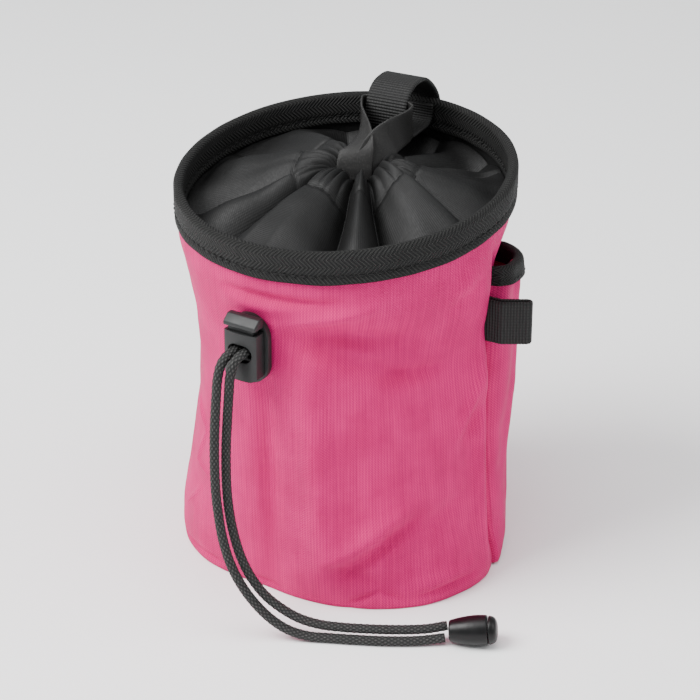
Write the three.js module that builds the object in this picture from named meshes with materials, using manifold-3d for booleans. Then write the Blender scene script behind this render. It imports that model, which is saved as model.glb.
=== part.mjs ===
// A drawstring chalk bag for climbing, standing on its flat base with the mouth pulled shut.
// Millimetres, +Z up, origin at the middle of the base on the floor, cord lock toward -Y.
// Angles round the bag are in degrees from the lock's side (-Y) and grow toward +X.

import * as THREE from 'three';
import { mergeVertices } from 'three/addons/utils/BufferGeometryUtils.js';
import Module from 'manifold-3d';

const wasm = await Module();
wasm.setup();

// Driving sizes of the bag
const RIM_RADIUS = 60;
const RIM_HEIGHT = 144.3;
const RIM_RISE = 13.2; // the rim is this much higher at the back than at the lock
const CLOTH = 1.2;
const GAP = 0.3; // between pieces that touch or are sewn together
const CLOTH_GAP = 0.5; // between layers of folded cloth, whose flat faces twist differently
const BASE_THICKNESS = 1.5;

// Tape folded over the rim
const TAPE = 1.0;
const BINDING_DEPTH = 11.5;
const NECK = 14; // height over which the cloth leaves the round rim for its own outline

// Gathered collar that closes the mouth
const COLLAR_CLOTH = 1.0;
const COLLAR_FOLD = 3.6;
const HOLE_LONG = 11; // half the length of the gathered hole
const HOLE_SHORT = 6;
const HOLE_X = 3.1;
const HOLE_Y = 4.2;
const HOLE_TURN = 36.5;

// Sleeve for a brush on the side, and its bound mouth
const SEAM_ANGLE = 97.5;
const SLEEVE_SPAN = 35;
const SLEEVE_DEPTH = 11;
const SLEEVE_LIP = 119;
const SLEEVE_LIP_FALL = 5; // the mouth is this much lower at its rear edge
const SLEEVE_FOOT = 2.2;
const MOUTH_TAPE = 0.8;
const MOUTH_DEPTH = 7.5;

// Webbing of the side loop and of the loop over the rim
const WEBBING = 16;
const WEBBING_THICKNESS = 1.4;
const SIDE_LOOP_HEIGHT = 100.8; // middle of its width
const SIDE_LOOP_REACH = 10.7;
const SIDE_LOOP_GAP = 1.1;
const SIDE_LOOP_HEADING = 126.5;
const SIDE_LOOP_SEAT = 4; // how far to each side of the seam its root clears the cloth
const HAUL_ANGLE = 190;
const HAUL_REACH = 29;
const HAUL_RISE = 11.2;

// Ribbon that is sewn at the hole and goes round the inner leg of the rim loop
const RIBBON = 12.5;
const RIBBON_THICKNESS = 0.8;

// Cord lock
const LOCK_ANGLE = 4;
const LOCK_HEIGHT = 99.8; // middle of the plate
const PLATE_WIDTH = 16;
const PLATE_HEIGHT = 25.5;
const PLATE_THICKNESS = 2;
const HOUSING_WIDTH = 13;
const HOUSING_HEIGHT = 17.5;
const HOUSING_DEPTH = 5.5;
const HOUSING_LOW = 9.8; // bottom of the housing below the plate's middle
const HOUSING_CROWN = 1.0; // how far its front bows out
const HOUSING_CORNER = 4;
const CAVITY_WIDTH = 10.8;
const CAVITY_DEPTH = 3.5;
const CAVITY_FLOOR = 3.5;
const FRONT_WALL = 1.1;
const CORD_HOLE_WIDTH = 9.7;
const CORD_HOLE_HEIGHT = 6.6;
const CORD_LEVEL = 10.4; // the cords' middle above the bottom of the housing
const TRAVEL = 1.5;
const STEM_CLEARANCE = 0.3;
const STEM_FOOT = 1.3;
const WINDOW_WIDTH = 8.2;
const CAP_DEPTH = 5.0;
const CAP_FRONT = 1.8;
const CAP_BACK = 3.6;

// Cords and the bell-shaped end that joins them
const CORD_DIAMETER = 3.4;
const BELL_LENGTH = 13.4;
const BELL_RADIUS = 5.35;
const BELL_NECK = 3.9;
const CAP_LENGTH = 3.2;
const BELL_X = 75.6;
const BELL_Y = -42.2;
const BELL_NECK_HEIGHT = 4.65;
const BELL_HEADING = 31; // from +X toward +Y
const BELL_PITCH = 5;

// How finely the round pieces are cut
const COLUMNS = 72;
const CORD_STEPS = 40;
const CORD_SIDES = 8;
const BELL_SIDES = 16;

// Directions in which the outline of the bag is given
const DIRECTIONS = {
  lock: 0, ridge: 30, print: 65, seam: 92, sleeve: 114, back: 180, far: 250, left: 306, edge: 332,
};

// Radius of the cloth in each direction as a share of RIM_RADIUS; level is the share of its height
const OUTLINE = [
  {
    level: 0.0, lock: 0.86, ridge: 0.93, print: 1.04, seam: 1.03,
    sleeve: 0.93, back: 0.96, far: 0.95, left: 0.99, edge: 0.95,
  },
  {
    level: 0.03, lock: 0.88, ridge: 0.95, print: 1.06, seam: 1.04,
    sleeve: 0.94, back: 0.98, far: 0.97, left: 1.005, edge: 0.965,
  },
  {
    level: 0.1, lock: 0.895, ridge: 0.965, print: 1.03, seam: 1.0,
    sleeve: 0.91, back: 0.985, far: 0.975, left: 1.0, edge: 0.965,
  },
  {
    level: 0.25, lock: 0.92, ridge: 0.96, print: 0.97, seam: 0.955,
    sleeve: 0.86, back: 0.97, far: 0.955, left: 0.94, edge: 0.94,
  },
  {
    level: 0.45, lock: 0.935, ridge: 0.96, print: 0.93, seam: 0.935,
    sleeve: 0.83, back: 0.94, far: 0.91, left: 0.875, edge: 0.91,
  },
  {
    level: 0.65, lock: 0.96, ridge: 0.945, print: 0.9, seam: 0.94,
    sleeve: 0.83, back: 0.93, far: 0.9, left: 0.865, edge: 0.91,
  },
  {
    level: 0.8, lock: 0.97, ridge: 0.95, print: 0.94, seam: 0.98,
    sleeve: 0.87, back: 0.96, far: 0.94, left: 0.925, edge: 0.95,
  },
  {
    level: 0.9, lock: 0.985, ridge: 0.985, print: 0.985, seam: 0.985,
    sleeve: 0.975, back: 0.985, far: 0.985, left: 0.985, edge: 0.985,
  },
];

// Folds of the cloth, each along a line from one angle and level to another;
// depth (outward is positive) and width are shares of RIM_RADIUS
const FOLDS = [
  { angle: 8, level: 0.6, toAngle: 9, toLevel: 0.1, depth: -0.035, width: 0.1 }, // valley under the lock
  { angle: 23, level: 0.66, toAngle: 30, toLevel: 0.12, depth: 0.03, width: 0.13 }, // long ridge beside it
  { angle: 19, level: 0.77, toAngle: 56, toLevel: 0.65, depth: -0.035, width: 0.12 }, // dent under the rim
  { angle: 56, level: 0.65, toAngle: 76, toLevel: 0.62, depth: -0.04, width: 0.13 },
  { angle: 30, level: 0.81, toAngle: 66, toLevel: 0.83, depth: 0.02, width: 0.09 },
  { angle: 84, level: 0.83, toAngle: 92, toLevel: 0.78, depth: 0.045, width: 0.13 }, // bulge at the seam
  { angle: 32, level: 0.14, toAngle: 61, toLevel: 0.25, depth: 0.025, width: 0.09 }, // slanting crease
  { angle: 40, level: 0.07, toAngle: 62, toLevel: 0.12, depth: -0.02, width: 0.1 },
  { angle: 94, level: 0.6, toAngle: 81, toLevel: 0.42, depth: 0.03, width: 0.09 },
  { angle: 97, level: 0.22, toAngle: 87, toLevel: 0.06, depth: 0.02, width: 0.09 },
];

// Levels at which the cloth wall is cut
const LEVELS = [0, 0.03, 0.1, 0.18, 0.26, 0.35, 0.44, 0.53, 0.61, 0.68, 0.755, 0.83, 0.875, 0.915, 1];

// Crests and valleys of the gathered collar round the hole; height is a share of COLLAR_FOLD
const COLLAR_FOLDS = [
  { angle: 0, height: 0.7 },
  { angle: 28, height: -1.3 },
  { angle: 40, height: 0.6 },
  { angle: 52, height: -1.3 },
  { angle: 84, height: 1.2 },
  { angle: 94, height: -0.6 },
  { angle: 142, height: -0.8 },
  { angle: 153, height: -1.7 },
  { angle: 166, height: -0.9 },
  { angle: 179, height: -1.8 },
  { angle: 216, height: -1.6 },
  { angle: 240, height: 0.8 },
  { angle: 262, height: -0.4 },
  { angle: 275, height: 0.7 },
  { angle: 306, height: -0.8 },
  { angle: 320, height: 0.4 },
  { angle: 336, height: -1.2 },
  { angle: 348, height: 0.6 },
];

// The collar from the hole (reach 0) to the wall (reach 1): drop under the plane of the rim as
// a share of BINDING_DEPTH, and how much of the fold height shows
const COLLAR_PROFILE = [
  { reach: 0, drop: 0.42, fold: 0.2 },
  { reach: 0.06, drop: 0.1, fold: 0.4 },
  { reach: 0.15, drop: -0.08, fold: 0.5 },
  { reach: 0.3, drop: 0.1, fold: 0.85 },
  { reach: 0.5, drop: 0.36, fold: 1.0 },
  { reach: 0.7, drop: 0.64, fold: 0.9 },
  { reach: 0.87, drop: 0.9, fold: 0.45 },
  { reach: 1, drop: 1.03, fold: 0 },
];
const COLLAR_CUTS = 3; // columns from one crest or valley to the next

// How far the sleeve stands off the bag at each level, as a share of SLEEVE_DEPTH
const SLEEVE_LIFT = [
  { level: 0, lift: 0.12 },
  { level: 0.1, lift: 0.3 },
  { level: 0.27, lift: 0.56 },
  { level: 0.43, lift: 0.82 },
  { level: 0.66, lift: 0.95 },
  { level: 0.74, lift: 0.84 },
  { level: 0.8, lift: 0.62 },
  { level: 0.86, lift: 0.5 },
];
const SLEEVE_SHARES = [0, 0.08, 0.2, 0.35, 0.5, 0.65, 0.8, 0.92, 1];

// Rim loop, outer leg to inner end: in is a share of HAUL_REACH, up a share of HAUL_RISE
const HAUL_ROUTE = [
  { in: 0, up: -0.95 },
  { in: 0, up: -0.1 },
  { in: 0.055, up: 0.16 },
  { in: 0.215, up: 0.6 },
  { in: 0.42, up: 0.94 },
  { in: 0.64, up: 1.0 },
  { in: 0.79, up: 0.94 },
  { in: 0.91, up: 0.75 },
  { in: 0.98, up: 0.45 },
  { in: 1.01, up: 0.05 },
  { in: 1.0, up: -0.35 },
  { in: 0.93, up: -0.6 },
  { in: 0.8, up: -0.69 },
];

// Ribbon round the inner leg of the rim loop: across is a share of WEBBING, out a share of the
// distance to that leg, up a share of HAUL_RISE, turn is 0 lying flat and 90 on edge
const RIBBON_ROUTE = [
  { across: 0.0, out: 0.104, up: -0.92, turn: 0 },
  { across: -0.03, out: 0.15, up: -0.58, turn: 0 },
  { across: -0.02, out: 0.3, up: -0.1, turn: 24 },
  { across: -0.17, out: 0.52, up: 0.0, turn: 50 },
  { across: -0.38, out: 0.78, up: 0.04, turn: 75 },
  { across: -0.56, out: 0.98, up: 0.1, turn: 90 },
  { across: -0.59, out: 1.09, up: 0.12, turn: 90 },
  { across: -0.4, out: 1.165, up: 0.12, turn: 90 },
  { across: 0.4, out: 1.165, up: 0.12, turn: 90 },
  { across: 0.68, out: 1.1, up: 0.08, turn: 90 },
  { across: 0.8, out: 0.98, up: 0.05, turn: 88 },
  { across: 0.73, out: 0.78, up: 0.0, turn: 75 },
  { across: 0.6, out: 0.56, up: 0.06, turn: 50 },
  { across: 0.45, out: 0.37, up: -0.08, turn: 22 },
  { across: 0.31, out: 0.26, up: -0.58, turn: 0 },
  { across: 0.284, out: 0.233, up: -0.92, turn: 0 },
];

// Middle of each cord, from inside the lock down to the floor and along it to the bell
const CORD_LEFT = [
  [2.5, -62.2, 100.4], [2.4, -65.2, 100.4], [2.0, -68.6, 99.9], [1.7, -71.8, 97.9], [1.9, -74.2, 94.0],
  [2.6, -76.2, 87.5], [3.2, -77.9, 79.5], [3.8, -79.3, 71.0], [4.4, -80.2, 62.5], [5.1, -80.8, 54.0],
  [6.4, -81.3, 45.5], [8.5, -81.9, 37.0], [11.2, -82.1, 29.5], [14.6, -81.5, 22.5], [19.0, -79.8, 15.3],
  [24.5, -77.1, 8.6], [30.0, -74.0, 4.2], [36.0, -70.5, 2.1], [43.0, -66.3, 1.75], [50.0, -62.3, 1.75],
  [59.5, -56.4, 1.75], [68.4, -49.8, 1.9], [75.2, -44.0, 2.7],
];
const CORD_RIGHT = [
  [6.35, -61.9, 100.4], [6.3, -64.9, 100.4], [5.9, -67.6, 99.9], [5.5, -70.2, 98.0], [5.4, -72.0, 94.3],
  [5.5, -73.1, 87.5], [5.6, -74.2, 79.5], [5.8, -75.4, 70.5], [6.2, -76.3, 61.5], [6.9, -77.0, 53.0],
  [8.2, -77.5, 44.5], [10.3, -77.8, 36.5], [13.0, -77.7, 29.0], [16.4, -77.0, 22.3], [20.9, -75.4, 16.0],
  [26.2, -73.0, 11.2], [31.8, -70.2, 7.7], [38.0, -66.8, 5.7], [44.5, -63.0, 5.05], [51.0, -59.2, 4.95],
  [60.2, -53.2, 4.95], [68.7, -46.6, 5.1], [74.3, -41.4, 5.95],
];

// Colours and finishes
const MATERIALS = {
  cloth: { color: 0xc83a78, roughness: 0.8, metalness: 0 },
  tape: { color: 0x1c1c1d, roughness: 0.85, metalness: 0 },
  lining: { color: 0x262628, roughness: 0.65, metalness: 0 },
  webbing: { color: 0x202122, roughness: 0.8, metalness: 0 },
  ribbon: { color: 0x3a3836, roughness: 0.5, metalness: 0 },
  plastic: { color: 0x2a2b2c, roughness: 0.4, metalness: 0 },
  cord: { color: 0x1a1a1a, roughness: 0.85, metalness: 0 },
  bell: { color: 0x101011, roughness: 0.22, metalness: 0 },
};

const { clamp, degToRad, lerp, radToDeg, smoothstep } = THREE.MathUtils;

// The point at an angle round the bag
function at(angle, radius, z) {
  const a = degToRad(angle);
  return new THREE.Vector3(radius * Math.sin(a), -radius * Math.cos(a), z);
}

// Smooth value of a column at x, through rows sorted by their key
function through(rows, key, column, x) {
  const last = rows.length - 1;
  if (x <= rows[0][key]) return rows[0][column];
  if (x >= rows[last][key]) return rows[last][column];
  const i = rows.findIndex((row) => row[key] > x) - 1;
  const slope = (k) => {
    const before = rows[Math.max(k - 1, 0)];
    const after = rows[Math.min(k + 1, last)];
    return (after[column] - before[column]) / (after[key] - before[key]);
  };
  const step = rows[i + 1][key] - rows[i][key];
  const u = (x - rows[i][key]) / step;
  const rise = rows[i + 1][column] - rows[i][column];
  const ease = u * u * (3 - 2 * u);
  return rows[i][column] + rise * ease
    + step * (slope(i) * u * (1 - u) ** 2 - slope(i + 1) * u * u * (1 - u));
}

// One closed mesh from vertices and faces, turned so that its faces point out
function solid(name, vertices, faces, material) {
  let volume = 0;
  for (const [a, b, c] of faces) volume += vertices[a].dot(vertices[b].clone().cross(vertices[c]));
  const index = volume > 0 ? faces.flat() : faces.map(([a, b, c]) => [a, c, b]).flat();
  const geometry = new THREE.BufferGeometry();
  const numbers = vertices.flatMap((v) => v.toArray());
  geometry.setAttribute('position', new THREE.Float32BufferAttribute(numbers, 3));
  geometry.setIndex(index);
  geometry.computeVertexNormals();
  return meshOf(name, geometry, material);
}

function meshOf(name, geometry, material) {
  const mesh = new THREE.Mesh(geometry, new THREE.MeshStandardMaterial(MATERIALS[material]));
  mesh.name = name;
  return mesh;
}

// A wall: sections are loops of the same count, out along one side and back along the other.
// A ring joins its last section to its first, and a strip is capped across its two ends.
function wall(name, sections, material, ring) {
  const count = sections[0].length;
  const faces = [];
  const joints = ring ? sections.length : sections.length - 1;
  for (let s = 0; s < joints; s++) {
    const here = s * count;
    const next = ((s + 1) % sections.length) * count;
    for (let i = 0; i < count; i++) {
      const j = (i + 1) % count;
      faces.push([here + i, next + i, next + j], [here + i, next + j, here + j]);
    }
  }
  if (!ring) {
    const end = (sections.length - 1) * count;
    for (let i = 0; i < count / 2 - 1; i++) {
      const k = count - 1 - i;
      faces.push([i, i + 1, k - 1], [i, k - 1, k]);
      faces.push([end + i, end + k - 1, end + i + 1], [end + i, end + k, end + k - 1]);
    }
  }
  return solid(name, sections.flat(), faces, material);
}

const columnAngle = (k) => SEAM_ANGLE + (k * 360) / COLUMNS;
const columns = Array.from({ length: COLUMNS }, (_, k) => columnAngle(k));

// Height of the sloping rim over any point
const rimSlope = RIM_RISE / (2 * RIM_RADIUS);
const rimPlane = (point) => RIM_HEIGHT + rimSlope * point.y;
const rimTop = (angle) => rimPlane(at(angle, RIM_RADIUS, 0));
const clothTop = (angle) => rimTop(angle) - TAPE - GAP;

// Outline without folds: smooth from level to level, and smooth round the bag
function outline(angle, level) {
  const ring = Object.entries(DIRECTIONS).map(([name, at]) => ({
    at, share: through(OUTLINE, 'level', name, level),
  }));
  const turned = ring.map((row) => ({ at: row.at + 360, share: row.share }));
  const before = ring.map((row) => ({ at: row.at - 360, share: row.share }));
  const wrapped = ((angle % 360) + 360) % 360;
  return RIM_RADIUS * through([...before, ...ring, ...turned], 'at', 'share', wrapped);
}

function foldOffset(angle, level) {
  let sum = 0;
  for (const fold of FOLDS) {
    const turn = ((angle - fold.angle + 540) % 360) - 180;
    const here = new THREE.Vector2(degToRad(turn), (level - fold.level) * (RIM_HEIGHT / RIM_RADIUS));
    const line = new THREE.Vector2(
      degToRad(fold.toAngle - fold.angle),
      (fold.toLevel - fold.level) * (RIM_HEIGHT / RIM_RADIUS),
    );
    const along = clamp(here.dot(line) / line.lengthSq(), 0, 1);
    const away = here.sub(line.multiplyScalar(along)).length();
    sum += fold.depth * Math.exp(-((away / fold.width) ** 2));
  }
  return sum * RIM_RADIUS;
}

// Outside of the cloth: round inside the rim tape, with its own outline and folds below it
function clothRadius(angle, level) {
  const inTape = RIM_RADIUS - TAPE - GAP;
  const below = rimTop(angle) - BINDING_DEPTH - level * clothTop(angle);
  const free = smoothstep(below, 0, NECK);
  return inTape + free * (outline(angle, level) + foldOffset(angle, level) - inTape);
}

// The same on the flat faces between the columns and levels that are cut, where neighbours seat
function facetRadius(angle, level) {
  const i = clamp(LEVELS.findIndex((row) => row >= level) - 1, 0, LEVELS.length - 2);
  const share = (level - LEVELS[i]) / (LEVELS[i + 1] - LEVELS[i]);
  const radius = (column) => lerp(clothRadius(column, LEVELS[i]), clothRadius(column, LEVELS[i + 1]), share);
  const step = 360 / COLUMNS;
  const past = (((angle - SEAM_ANGLE) % step) + step) % step;
  const before = radius(angle - past);
  const after = radius(angle - past + step);
  return (before * after * Math.sin(degToRad(step)))
    / (before * Math.sin(degToRad(past)) + after * Math.sin(degToRad(step - past)));
}

// Distance from the middle at which a flat thing clears the cloth everywhere behind it
function flatSeat(angle, middle, width, height) {
  let seat = 0;
  for (let x = -1; x <= 1; x += 0.25) {
    for (let z = -1; z <= 1; z += 0.25) {
      const turn = Math.atan((x * width) / 2 / RIM_RADIUS);
      const there = angle + radToDeg(turn);
      const level = (middle + (z * height) / 2) / clothTop(there);
      seat = Math.max(seat, facetRadius(there, level) * Math.cos(turn));
    }
  }
  return seat;
}

function bodyShell() {
  const sections = columns.map((angle) => {
    const point = (level, inset) => at(angle, clothRadius(angle, level) - inset, level * clothTop(angle));
    const outside = LEVELS.map((level) => point(level, 0));
    const inside = LEVELS.map((level) => point(level, CLOTH)).reverse();
    return [...outside, ...inside];
  });
  return wall('body_shell', sections, 'cloth', true);
}

// Flat panel inside the foot of the wall
function basePanel() {
  const edge = (angle) => clothRadius(angle, 0) - CLOTH - GAP;
  const vertices = [new THREE.Vector3(0, 0, 0), new THREE.Vector3(0, 0, BASE_THICKNESS)];
  const faces = [];
  columns.forEach((angle, k) => {
    vertices.push(at(angle, edge(angle), 0), at(angle, edge(angle), BASE_THICKNESS));
    const low = 2 + 2 * k;
    const next = 2 + 2 * ((k + 1) % COLUMNS);
    faces.push([0, next, low], [1, low + 1, next + 1]);
    faces.push([low, next, next + 1], [low, next + 1, low + 1]);
  });
  return solid('base_panel', vertices, faces, 'cloth');
}

// Tape folded over the top of the cloth, sewn through below
function rimBinding() {
  const width = 2 * TAPE + 2 * GAP + CLOTH;
  const profile = [
    [0, BINDING_DEPTH], [0, TAPE], [width * 0.25, 0], [width * 0.75, 0], [width, TAPE],
    [width, BINDING_DEPTH],
    [width - TAPE, BINDING_DEPTH], [width - TAPE, TAPE], [TAPE, TAPE], [TAPE, BINDING_DEPTH],
  ];
  const sections = columns.map((angle) => profile.map(
    ([inset, drop]) => at(angle, RIM_RADIUS - inset, rimTop(angle) - drop),
  ));
  return wall('rim_binding', sections, 'tape', true);
}

// Edge of the gathered hole, an ellipse beside the middle of the bag
function holeEdge(angle) {
  const a = degToRad(angle - HOLE_TURN);
  const local = new THREE.Vector3(HOLE_LONG * Math.sin(a), -HOLE_SHORT * Math.cos(a), 0);
  local.applyAxisAngle(new THREE.Vector3(0, 0, 1), degToRad(HOLE_TURN));
  return local.add(new THREE.Vector3(HOLE_X, HOLE_Y, 0));
}

function collar() {
  const sections = [];
  COLLAR_FOLDS.forEach((fold, f) => {
    const next = COLLAR_FOLDS[(f + 1) % COLLAR_FOLDS.length];
    const span = ((next.angle - fold.angle + 360) % 360) / COLLAR_CUTS;
    for (let cut = 0; cut < COLLAR_CUTS; cut++) {
      const angle = fold.angle + cut * span;
      const height = COLLAR_FOLD * lerp(fold.height, next.height, smoothstep(cut / COLLAR_CUTS, 0, 1));
      sections.push(collarSection(angle, height));
    }
  });
  return wall('collar', sections, 'lining', true);
}

function collarSection(angle, height) {
  const start = holeEdge(angle);
  const level = (rimTop(angle) - BINDING_DEPTH - GAP) / clothTop(angle);
  const edge = at(angle, facetRadius(angle, level) - CLOTH - 1.5 * GAP, 0);
  const top = COLLAR_PROFILE.map(({ reach, drop, fold }) => {
    const point = start.clone().lerp(edge, reach);
    const plane = lerp(rimPlane(start), rimTop(angle), reach);
    point.z = plane - drop * BINDING_DEPTH - reach * GAP + fold * height;
    return point;
  });
  const under = top.map((point) => point.clone().setZ(point.z - COLLAR_CLOTH)).reverse();
  return [...top, ...under];
}

// Radius and height on the outside of the sleeve, share 0 at the seam and 1 at the rear edge
function sleevePoint(share, level, offset) {
  const angle = SEAM_ANGLE + share * SLEEVE_SPAN;
  const lift = SLEEVE_DEPTH * through(SLEEVE_LIFT, 'level', 'lift', level) * Math.sin(Math.PI * share);
  return at(angle, facetRadius(angle, level) + CLOTH_GAP + CLOTH + lift + offset, level * clothTop(angle));
}

// Level of the sleeve's cloth edge, inside its tape
function lipLevel(share) {
  const angle = SEAM_ANGLE + share * SLEEVE_SPAN;
  return (SLEEVE_LIP - SLEEVE_LIP_FALL * share - MOUTH_TAPE - GAP) / clothTop(angle);
}

function sleeveLevels(share) {
  const angle = SEAM_ANGLE + share * SLEEVE_SPAN;
  const foot = SLEEVE_FOOT / clothTop(angle);
  const lip = lipLevel(share);
  const lowest = Math.min(...SLEEVE_SHARES.map(lipLevel));
  const between = LEVELS.filter((level) => level > foot * 1.5 && level < lowest - 0.005);
  return [foot, ...between, lip];
}

function brushSleeve() {
  const sections = SLEEVE_SHARES.map((share) => {
    const levels = sleeveLevels(share);
    const outside = levels.map((level) => sleevePoint(share, level, 0));
    const inside = levels.map((level) => sleevePoint(share, level, -CLOTH)).reverse();
    return [...outside, ...inside];
  });
  return wall('brush_sleeve', sections, 'cloth', false);
}

// Tape over the mouth of the sleeve, short of its two sewn edges
function sleeveBinding() {
  const sections = SLEEVE_SHARES.slice(1, -1).map((share) => {
    const top = clothTop(SEAM_ANGLE + share * SLEEVE_SPAN);
    const lip = lipLevel(share) * top;
    const point = (offset, height) => sleevePoint(share, (lip + height) / top, offset);
    const outer = CLOTH_GAP + MOUTH_TAPE;
    const low = GAP + MOUTH_TAPE - MOUTH_DEPTH;
    const outside = [point(outer, low), point(outer, GAP), point(-CLOTH / 2, GAP + MOUTH_TAPE),
      point(-CLOTH - outer, GAP), point(-CLOTH - outer, low)];
    const inside = [point(-CLOTH - CLOTH_GAP, low), point(-CLOTH - CLOTH_GAP, GAP), point(-CLOTH / 2, GAP),
      point(CLOTH_GAP, GAP), point(CLOTH_GAP, low)];
    return [...outside, ...inside];
  });
  return wall('sleeve_binding', sections, 'tape', false);
}

// A flat strap: at each station a middle, the direction of its width, and the direction it faces
function strap(name, stations, width, thickness, material) {
  const sections = stations.map(({ middle, side, face }) => {
    const corner = (s, f) => middle.clone()
      .addScaledVector(side, (s * width) / 2)
      .addScaledVector(face, (f * thickness) / 2);
    return [corner(-1, 1), corner(1, 1), corner(1, -1), corner(-1, -1)];
  });
  return wall(name, sections, material, false);
}

// Stations along a smooth curve through points, each with its own direction of width
function stationsAlong(points, sides, count) {
  const curve = new THREE.CatmullRomCurve3(points, false, 'centripetal');
  return Array.from({ length: count + 1 }, (_, k) => {
    const t = k / count;
    const along = curve.getTangent(t);
    const i = Math.min(Math.floor(t * (points.length - 1)), points.length - 2);
    const side = sides[i].clone().lerp(sides[i + 1], t * (points.length - 1) - i);
    side.addScaledVector(along, -side.dot(along)).normalize();
    return { middle: curve.getPoint(t), side, face: along.clone().cross(side) };
  });
}

// Tab of webbing at the seam, folded over at its tip
function brushLoop() {
  const out = at(SIDE_LOOP_HEADING, 1, 0);
  const across = at(SIDE_LOOP_HEADING + 90, 1, 0);
  const half = (SIDE_LOOP_GAP + WEBBING_THICKNESS) / 2;
  const radius = flatSeat(SEAM_ANGLE, SIDE_LOOP_HEIGHT, 2 * SIDE_LOOP_SEAT, WEBBING);
  const beside = half + WEBBING_THICKNESS / 2 + GAP;
  const root = at(SEAM_ANGLE, radius + CLOTH_GAP + CLOTH, SIDE_LOOP_HEIGHT).addScaledVector(across, -beside);
  const lean = degToRad(SIDE_LOOP_HEADING - SEAM_ANGLE);
  const clear = radius + GAP + (WEBBING_THICKNESS / 2) * Math.sin(lean);
  const depth = (Math.hypot(root.x, root.y) - clear) / Math.cos(lean);
  const straight = SIDE_LOOP_REACH - half - WEBBING_THICKNESS / 2;
  const bend = [-90, -60, -30, 0, 30, 60, 90].map((turn) => ({
    out: straight + half * Math.cos(degToRad(turn)), across: half * Math.sin(degToRad(turn)),
  }));
  const slant = half * Math.tan(lean);
  const route = [{ out: -depth - slant, across: -half }, ...bend, { out: slant - depth, across: half }];
  const points = route.map((row) => root.clone()
    .addScaledVector(out, row.out).addScaledVector(across, row.across));
  const up = new THREE.Vector3(0, 0, 1);
  const stations = points.map((middle, k) => {
    const before = points[Math.max(k - 1, 0)];
    const after = points[Math.min(k + 1, points.length - 1)];
    const along = after.clone().sub(before).normalize();
    return { middle, side: up, face: along.cross(up) };
  });
  return strap('brush_loop', stations, WEBBING, WEBBING_THICKNESS, 'webbing');
}

const haulOut = at(HAUL_ANGLE, 1, 0);
const haulAcross = new THREE.Vector3(0, 0, 1).cross(haulOut).negate();
const haulRadius = RIM_RADIUS + GAP + WEBBING_THICKNESS / 2;

// Loop of webbing over the rim: sewn outside it, arched inward, and back to its inner side
function haulLoop() {
  const inside = RIM_RADIUS - 2 * TAPE - 2 * GAP - CLOTH;
  const innerSide = Math.hypot(inside, WEBBING / 2) - (WEBBING / 2) ** 2 / RIM_RADIUS;
  const seat = (haulRadius - innerSide + GAP + WEBBING_THICKNESS / 2) / HAUL_REACH;
  const back = [
    { in: seat + 0.32, up: -0.72 }, { in: seat + 0.1, up: -0.71 }, { in: seat + 0.015, up: -0.58 },
    { in: seat, up: -0.4 }, { in: seat, up: -0.12 },
  ];
  const points = [...HAUL_ROUTE, ...back].map((row) => haulOut.clone()
    .multiplyScalar(haulRadius - row.in * HAUL_REACH)
    .setZ(rimTop(HAUL_ANGLE) + row.up * HAUL_RISE));
  const stations = stationsAlong(points, points.map(() => haulAcross), 2 * points.length);
  return strap('haul_loop', stations, WEBBING, WEBBING_THICKNESS, 'webbing');
}

function pullRibbon() {
  const leg = haulRadius - HAUL_REACH;
  const up = new THREE.Vector3(0, 0, 1);
  const flat = at(HOLE_TURN + 90, 1, 0);
  const points = RIBBON_ROUTE.map((row) => haulOut.clone().multiplyScalar(leg * row.out)
    .addScaledVector(haulAcross, row.across * WEBBING)
    .setZ(rimTop(HAUL_ANGLE) + row.up * HAUL_RISE));
  const half = (RIBBON_ROUTE.length - 1) / 2;
  const sides = RIBBON_ROUTE.map((row, k) => {
    const lying = flat.clone().multiplyScalar(k < half ? 1 : -1);
    const turn = degToRad(row.turn);
    return lying.multiplyScalar(Math.cos(turn)).addScaledVector(up, Math.sin(turn));
  });
  const stations = stationsAlong(points, sides, 3 * points.length);
  return strap('pull_ribbon', stations, RIBBON, RIBBON_THICKNESS, 'ribbon');
}

// A three.js solid as a manifold, and back
function toManifold(geometry) {
  const bare = geometry.clone();
  bare.deleteAttribute('normal');
  bare.deleteAttribute('uv');
  const merged = mergeVertices(bare, 1e-4);
  return new wasm.Manifold(new wasm.Mesh({
    numProp: 3,
    vertProperties: new Float32Array(merged.attributes.position.array),
    triVerts: new Uint32Array(merged.index.array),
  }));
}

function fromManifold(body) {
  const { vertProperties, triVerts } = body.getMesh();
  const geometry = new THREE.BufferGeometry();
  geometry.setAttribute('position', new THREE.BufferAttribute(vertProperties, 3));
  geometry.setIndex(new THREE.BufferAttribute(triVerts, 1));
  geometry.computeVertexNormals();
  return geometry;
}

// Box between two corners
function block(x0, x1, y0, y1, z0, z1) {
  const geometry = new THREE.BoxGeometry(x1 - x0, y1 - y0, z1 - z0);
  return geometry.translate((x0 + x1) / 2, (y0 + y1) / 2, (z0 + z1) / 2);
}

// A shape drawn in X and Z, made solid from y0 back to y1
function plateShape(shape, y0, y1, curveSegments) {
  const geometry = new THREE.ExtrudeGeometry(shape, { depth: y1 - y0, bevelEnabled: false, curveSegments });
  return geometry.rotateX(Math.PI / 2).translate(0, y1, 0);
}

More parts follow.
